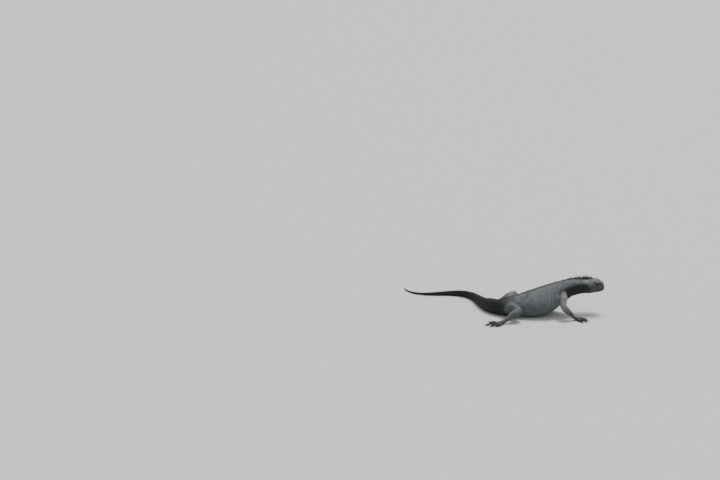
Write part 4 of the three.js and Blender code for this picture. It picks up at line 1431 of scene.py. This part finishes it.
def lid_field(side, hide):
    """Fine beads in rows round the lids from the rim out, each row's beads larger than the last's.
    Each stands on the lids' outside, looked up between its rings by the length along them."""
    surface = lid_surface(side, hide, np.arange(LID_LOOKUP + 1) * tau / LID_LOOKUP)
    length = np.concatenate([[0], np.cumsum(np.linalg.norm(np.diff(surface, axis=0), axis=2).mean(1))])
    out_from_rim, apart, half = np.transpose(LID_BEADS)

    def row_step(place):
        """How far on from this row of beads the next one stands."""
        return COARSE * float(np.interp(place, out_from_rim, apart))

    at, size = [], []
    for row, place in enumerate(stack_places(0.95, length[-1] - 0.3, row_step)):
        ring = at_lengths(surface.reshape(len(surface), -1), length, [place]).reshape(-1, 3)
        travel = travelled(ring)
        radius = COARSE * float(np.interp(place, out_from_rim, half))
        count = int(travel[-1] / (2 * radius))
        steps = (np.arange(count) + 0.5 * (row % 2) + draw.uniform(-0.16, 0.16, count)) * travel[-1] / count
        at.append(at_lengths(ring, travel, steps % travel[-1]))
        size.append(varied(np.full(count, radius), 0.12))
    at, size = np.concatenate(at), np.concatenate(size)
    centre, look, _, _ = eye_frame(side)
    cells = bands(len(surface), LID_LOOKUP + 1)
    tree = BVHTree.FromPolygons(surface.reshape(-1, 3).tolist(), cells.tolist())
    found = [tuple(tree.find_nearest(Vector(point))[1]) for point in at]
    normal = np.array(found) * np.sign(dots(np.array(found), at - centre + look * 6))[:, None]
    across_map = 0.3 + 0.4 * (at[:, 1] > 0) + 0.001 * (at[:, 2] - 100)
    backs = np.tile([-1.0, 0, 0], (len(at), 1))
    field = Field("head", "pebble", at, backs, size, size, size * 0.5, on_head_map(at, across_map))
    field.rows["normals"] = normal
    return field


def make_nostril(side, hide, material):
    """A nostril: a raised ring with a deep narrow cup inside it, an oval that leans back, turned
    about the skin's own direction there, with a closed underside."""
    turn = turns(NOSTRIL_SIDES)
    quarter = NOSTRIL_SIDES // 4
    sign = 1 if side == "left" else -1
    middle = np.array([SNOUT - NOSTRIL_BACK, 0, MOUTH_HEIGHT + NOSTRIL_HEIGHT])
    around = middle + np.stack([3.2 * np.cos(turn), 0 * turn, 3 * np.sin(turn)], 1)
    rim = hide.hit_by(around + [0, sign * 40, 0], np.tile([0.0, -sign, 0], (len(turn), 1)))
    centre = rim.mean(0)
    look = unit(np.cross(rim[0] - rim[2 * quarter], rim[quarter] - rim[3 * quarter]))
    look *= np.sign(look[1] * sign)
    front = square_to([1, 0, 0.35], look)
    top = np.cross(look, front)
    rings = [on_circle(turn) * [1.12 * r, 0.9 * r, 0] + [0, 0, h] for r, h in NOSTRIL[::-1]]
    rings += [on_circle(turn) * [1.1 * r, 0.9 * r, 0] + [0, 0, h] for r, h in NOSTRIL_UNDER]
    points, faces = loft(placed_round(centre, look, front, top, np.array(rings)))
    obj = shape_object("nostril_" + side, points, faces, material)
    # Painted shade: the cup darker the deeper it lies, its rim paler.
    depth = (points - centre) @ look
    dark = 1 - ramp(depth, -0.8, 0.3)
    set_attributes(obj, {"dark": np.maximum(dark, 0.1), "dust_and_painted_light": 0.5 * (1 - dark), "tone": -dark})


# Claws


def claw_shell(root, heading):
    """One claw: an egg-shaped section, blunt above and keeled below, carried along a path that
    arches up and bends down to the floor, shrinking to a point."""
    share = np.linspace(0, 1, CLAW_RINGS)
    side = np.cross([0, 0, 1], heading)
    ahead = CLAW_REACH * np.sin(1.25 * share) - CLAW_START
    centre = root + heading * ahead[:, None]
    centre[:, 2] += 0.4 + 1.1 * np.sin(pi * share) - 1.9 * share**1.6
    dip = np.radians(8 + 46 * share)
    up = np.outer(np.cos(dip), [0, 0, 1]) + np.outer(np.sin(dip), heading)
    size = np.where(share > 0.995, 0.08, (1 - 0.78 * share) * (1 - 0.5 * ramp(share, 0.75, 1)))
    angle = turns(CLAW_SIDES)
    wide = CLAW_WIDE * (1 - 0.25 * np.clip(-np.sin(angle), 0, 1))
    rings = centre[:, None] + side * np.outer(size, wide * np.cos(angle))[..., None]
    rings = rings + up[:, None] * (CLAW_HIGH * np.outer(size, np.sin(angle)))[..., None]
    return loft(lifted(rings, SCALE_LOW))


def make_claws(name, side, material):
    """The five claws of one foot."""
    shells = [claw_shell(root, heading) for root, heading in legs[name, side]["claws"]]
    points, faces = join(shells)
    obj = shape_object("claws_" + name + "_" + side, points, faces, material)
    share = np.concatenate([np.repeat(np.linspace(0, 1, CLAW_RINGS), CLAW_SIDES), [0, 1]])
    set_attributes(obj, {"reach": np.tile(share, len(shells))})
    digit = {"fore": "finger", "hind": "toe"}[name]
    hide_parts(*["claw_" + digit + str(n + 1) + "_" + side for n in range(5)])


# Materials


def linear(hex_colour):
    """An sRGB hex colour as linear red, green, blue and alpha."""
    parts = [int(hex_colour[n : n + 2], 16) / 255 for n in (1, 3, 5)]
    return tuple(p / 12.92 if p <= 0.04045 else ((p + 0.055) / 1.055) ** 2.4 for p in parts) + (1.0,)


def add_node(tree, kind, inputs=None, **settings):
    """Adds a shader node with its settings, and fills its inputs with values or links."""
    made = tree.nodes.new("ShaderNode" + kind)
    for name, value in settings.items():
        setattr(made, name, value)
    for name, value in (inputs or {}).items():
        if isinstance(value, bpy.types.NodeSocket):
            tree.links.new(value, made.inputs[name])
        else:
            made.inputs[name].default_value = value
    return made


def new_material(name):
    """An empty material with its shader and output."""
    material = bpy.data.materials.new(name)
    material.use_nodes = True
    tree = material.node_tree
    tree.nodes.clear()
    shader = add_node(tree, "BsdfPrincipled")
    add_node(tree, "OutputMaterial", {"Surface": shader.outputs[0]})
    return material, tree, shader


def clouds(tree, rows):
    """Cloudy noises in the piece's own place, each with patches about so many millimetres across,
    mapped from one range to another: name, size, detail, low, high, least, most."""
    place = add_node(tree, "TexCoord").outputs["Object"]
    made = {}
    for name, size, detail, low, high, least, most in rows:
        inputs = {"Vector": place, "Scale": 1 / (size * MM), "Detail": detail, "Roughness": 0.6}
        noise = add_node(tree, "TexNoise", inputs).outputs[0]
        inputs = {"Value": noise, "From Min": low, "From Max": high, "To Min": least, "To Max": most}
        made[name] = add_node(tree, "MapRange", inputs).outputs[0]
    return made


def marks_of(tree, *names):
    """The numbers kept on the piece's points."""
    return [add_node(tree, "Attribute", attribute_name=name).outputs["Fac"] for name in names]


def roughen(tree, shader, height, strength, deep_mm):
    """Fine relief on the surface from a height."""
    inputs = {"Height": height, "Strength": strength, "Distance": deep_mm * MM}
    bump = add_node(tree, "Bump", inputs)
    tree.links.new(bump.outputs[0], shader.inputs["Normal"])


# Keratin hide of a sea lizard: dry, matt, slate grey with a brown cast, salt-dusted on the back.
SLATE_DEEP, SLATE, BROWN_CAST = "#50565a", "#6c7274", "#5a554d"
# The near black is the tail's and feet's colour and also painted shade on the neck's and head's sides and
# in the nostrils; the dust colour also paints highlights on the shoulders and the head's top.
PALE_DUST_AND_LIGHT, SALT, BLACK_AND_PAINTED_SHADE = "#b0b3b2", "#cccdc8", "#100e0c"


def hide_material(name, shade, bump_mm, salted):
    """Dry keratin scales over dark skin: cloudy slate and brown, dust and salt specks on what faces up,
    tail and feet near black, with the painted shade and highlights that the marks carry; shade darkens it
    all for the skin between the scales."""
    material, tree, shader = new_material(name)
    dark, dust_and_painted_light, tone = marks_of(tree, "dark", "dust_and_painted_light", "tone")
    cloud = clouds(
        tree,
        (
            ("slate", 42, 4, 0.36, 0.64, 0, 1),
            ("brown", 85, 3, 0.5, 0.72, 0, 0.5),
            ("dust_and_painted_light", 15, 5, 0.34, 0.66, 0.15, 0.85),
            ("salt", 2.6, 3, 0.6, 0.7, 0, 0.7),
            ("wear", 7, 3, 0.3, 0.7, 0.54, 0.76),
            ("grain", 0.9, 4, 0.2, 0.8, 0, 1),
        ),
    )
    # The dust mark with the painted highlights it carries, times the dust noise.
    dusted_and_lit, salty = (
        add_node(tree, "Math", {0: cloud[key], 1: dust_and_painted_light}, operation="MULTIPLY").outputs[0]
        for key in ("dust_and_painted_light", "salt")
    )
    # The dark mark: the tail's and feet's black, and painted shade on the neck's and head's sides and in
    # the nostrils.
    black = add_node(tree, "MapRange", {"Value": dark, "To Max": 0.97}).outputs[0]
    colour = linear(SLATE_DEEP)
    layers = [(cloud["slate"], SLATE), (cloud["brown"], BROWN_CAST), (dusted_and_lit, PALE_DUST_AND_LIGHT), (black, BLACK_AND_PAINTED_SHADE)]
    if salted:
        layers.append((salty, SALT))
    for share, over in layers:
        inputs = {0: share, 6: colour, 7: linear(over)}
        colour = add_node(tree, "Mix", inputs, data_type="RGBA").outputs[2]
    inputs = {"Value": tone, "From Min": -1, "From Max": 1, "To Min": 0.8 * shade, "To Max": 1.2 * shade}
    light = add_node(tree, "MapRange", inputs).outputs[0]
    grey = add_node(tree, "CombineColor", {0: light, 1: light, 2: light}).outputs[0]
    inputs = {0: 1.0, 6: colour, 7: grey}
    colour = add_node(tree, "Mix", inputs, data_type="RGBA", blend_type="MULTIPLY").outputs[2]
    tree.links.new(colour, shader.inputs["Base Color"])
    tree.links.new(cloud["wear"], shader.inputs["Roughness"])
    shader.inputs["IOR"].default_value = 1.5
    roughen(tree, shader, cloud["grain"], 0.5, bump_mm)
    return material


def horn_material(name, mark, low, high, root, end, gloss, bump_mm):
    """Horn that changes colour from its root to its end, with fine streaks in its gloss."""
    material, tree, shader = new_material(name)
    (place,) = marks_of(tree, mark)
    cloud = clouds(tree, (("gloss", 1.2, 3, 0.3, 0.7, *gloss), ("grain", 1.2, 3, 0, 1, 0, 1)))
    share = add_node(tree, "MapRange", {"Value": place, "From Min": low, "From Max": high}).outputs[0]
    inputs = {0: share, 6: linear(root), 7: linear(end)}
    colour = add_node(tree, "Mix", inputs, data_type="RGBA").outputs[2]
    tree.links.new(colour, shader.inputs["Base Color"])
    tree.links.new(cloud["gloss"], shader.inputs["Roughness"])
    shader.inputs["IOR"].default_value = 1.55
    roughen(tree, shader, cloud["grain"], 0.35, bump_mm)
    return material


def eye_material():
    """A living eye, wet and glossy: a round black pupil, a dark brown iris flecked with gold, and a
    dark rim."""
    material, tree, shader = new_material("wet eye")
    (off_axis,) = marks_of(tree, "off_axis")
    cloud = clouds(tree, (("fleck", 0.8, 5, 0.42, 0.68, 0, 1),))
    colour = linear("#22130b")
    inner = add_node(tree, "MapRange", {"Value": off_axis, "From Min": 19.5, "From Max": 17}).outputs[0]
    outer = add_node(tree, "MapRange", {"Value": off_axis, "From Min": 30, "From Max": 36}).outputs[0]
    for share, over in ((cloud["fleck"], "#412a16"), (inner, "#030202"), (outer, "#0d0a08")):
        inputs = {0: share, 6: colour, 7: linear(over)}
        colour = add_node(tree, "Mix", inputs, data_type="RGBA").outputs[2]
    tree.links.new(colour, shader.inputs["Base Color"])
    shader.inputs["Roughness"].default_value = 0.04
    shader.inputs["IOR"].default_value = 1.38
    return material


# Stage, light and camera


def make_stage():
    """A wide pale floor at the height of the flats that the animal rests on."""
    material, _, shader = new_material("matt paper floor")
    shader.inputs["Base Color"].default_value = linear("#d9d6d0")
    shader.inputs["Roughness"].default_value = 0.9
    reach = 300.0
    mesh = bpy.data.meshes.new("floor")
    corners = [(-reach, -reach, 0), (reach, -reach, 0), (reach, reach, 0), (-reach, reach, 0)]
    mesh.from_pydata(corners, [], [(0, 1, 2, 3)])
    mesh.materials.append(material)
    floor = into_scene("floor", mesh)


def make_lights():
    """Soft studio light: a wide sun from high behind, as outdoors, and an even pale sky."""
    sun = bpy.data.lights.new("key", "SUN")
    sun.energy = 3.0
    sun.angle = radians(20)
    sun.color = (1.0, 0.97, 0.93)
    key = into_scene("key", sun)
    key.rotation_euler = Euler((radians(-24), radians(14), 0))
    world = bpy.data.worlds.new("studio")
    world.use_nodes = True
    background = world.node_tree.nodes["Background"]
    background.inputs["Color"].default_value = (0.88, 0.93, 1.0, 1)
    background.inputs["Strength"].default_value = 0.65
    bpy.context.scene.world = world


# The photo's camera: a 50 mm lens on a 36 mm wide picture, held 1.22 m up and tipped down; the
# animal lies to the right of the picture, 3.67 m ahead, turned a little away.
CAMERA_HEIGHT, CAMERA_TIP, CAMERA_LENS = 1220, 14.13, 50
HIPS_RIGHT, HIPS_AHEAD, HEADING = 560, 3672, 6


def make_camera():
    """The camera, seen from the animal: the hips' place in the camera's own ground directions,
    turned back by the animal's heading."""
    turn = radians(HEADING)
    x, y = -HIPS_RIGHT, -HIPS_AHEAD
    place = np.array([cos(turn) * x + sin(turn) * y, -sin(turn) * x + cos(turn) * y, CAMERA_HEIGHT])
    data = bpy.data.cameras.new("camera")
    data.lens = CAMERA_LENS
    data.sensor_width = 36
    data.clip_end = 1000
    camera = into_scene("camera", data)
    camera.location = (place + frame_shift * [1, 1, 0]) * MM
    camera.rotation_euler = Euler((radians(90 - CAMERA_TIP), 0, -turn))
    bpy.context.scene.camera = camera


# Making

skin_material = hide_material("dry keratin hide, between scales", shade=0.6, bump_mm=0.25, salted=False)
scale_material = hide_material("dry keratin scales", shade=1.0, bump_mm=0.12, salted=True)
crest_look = {"low": 0.1, "high": 0.7, "root": "#484c4e", "end": "#171514", "gloss": (0.44, 0.62)}
claw_look = {"low": 0.55, "high": 1.0, "root": "#1b1715", "end": "#4a3f36", "gloss": (0.24, 0.42)}
crest_horn = horn_material("keratin crest", "rise", bump_mm=0.12, **crest_look)
claw_horn = horn_material("claw horn", "reach", bump_mm=0.1, **claw_look)
wet_eye = eye_material()

make_camera()
make_lights()
make_stage()

skin = make_skin(skin_material)
flesh = ["head", "lower_jaw", "neck", "torso"] + ["tail_" + str(n) for n in range(1, 6)]
for side in SIDES:
    flesh += [part + "_" + side for part in ("upper_arm", "forearm", "hand", "thigh", "shank", "foot")]
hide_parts(*flesh)
hide = Hide(skin)
values = marks(hide.points, point_normals(hide.points, hide.faces))
set_attributes(skin, {**values, "tone": np.zeros(len(hide.points))})

coat = settled([*lip_fields(hide), head_field(hide), trunk_field(), tail_field(), *leg_fields()], hide)
coat += [lid_field(side, hide) for side in SIDES]
coat += gap_fields(coat, hide)
fit_together(coat)
slots = {"head": "skin", "trunk": "skin", "tail": "tail_skin", "legs": "skin", "feet": "foot_skin"}
for region, slot in slots.items():
    fields = [field for field in coat if field.region == region]
    make_coat(region + "_scales", fields, scale_material)

make_crest(hide, crest_horn)
for side in SIDES:
    make_eye(side, wet_eye)
    make_lids(side, hide, skin_material)
    make_nostril(side, hide, scale_material)
    make_claws("fore", side, claw_horn)
    make_claws("hind", side, claw_horn)
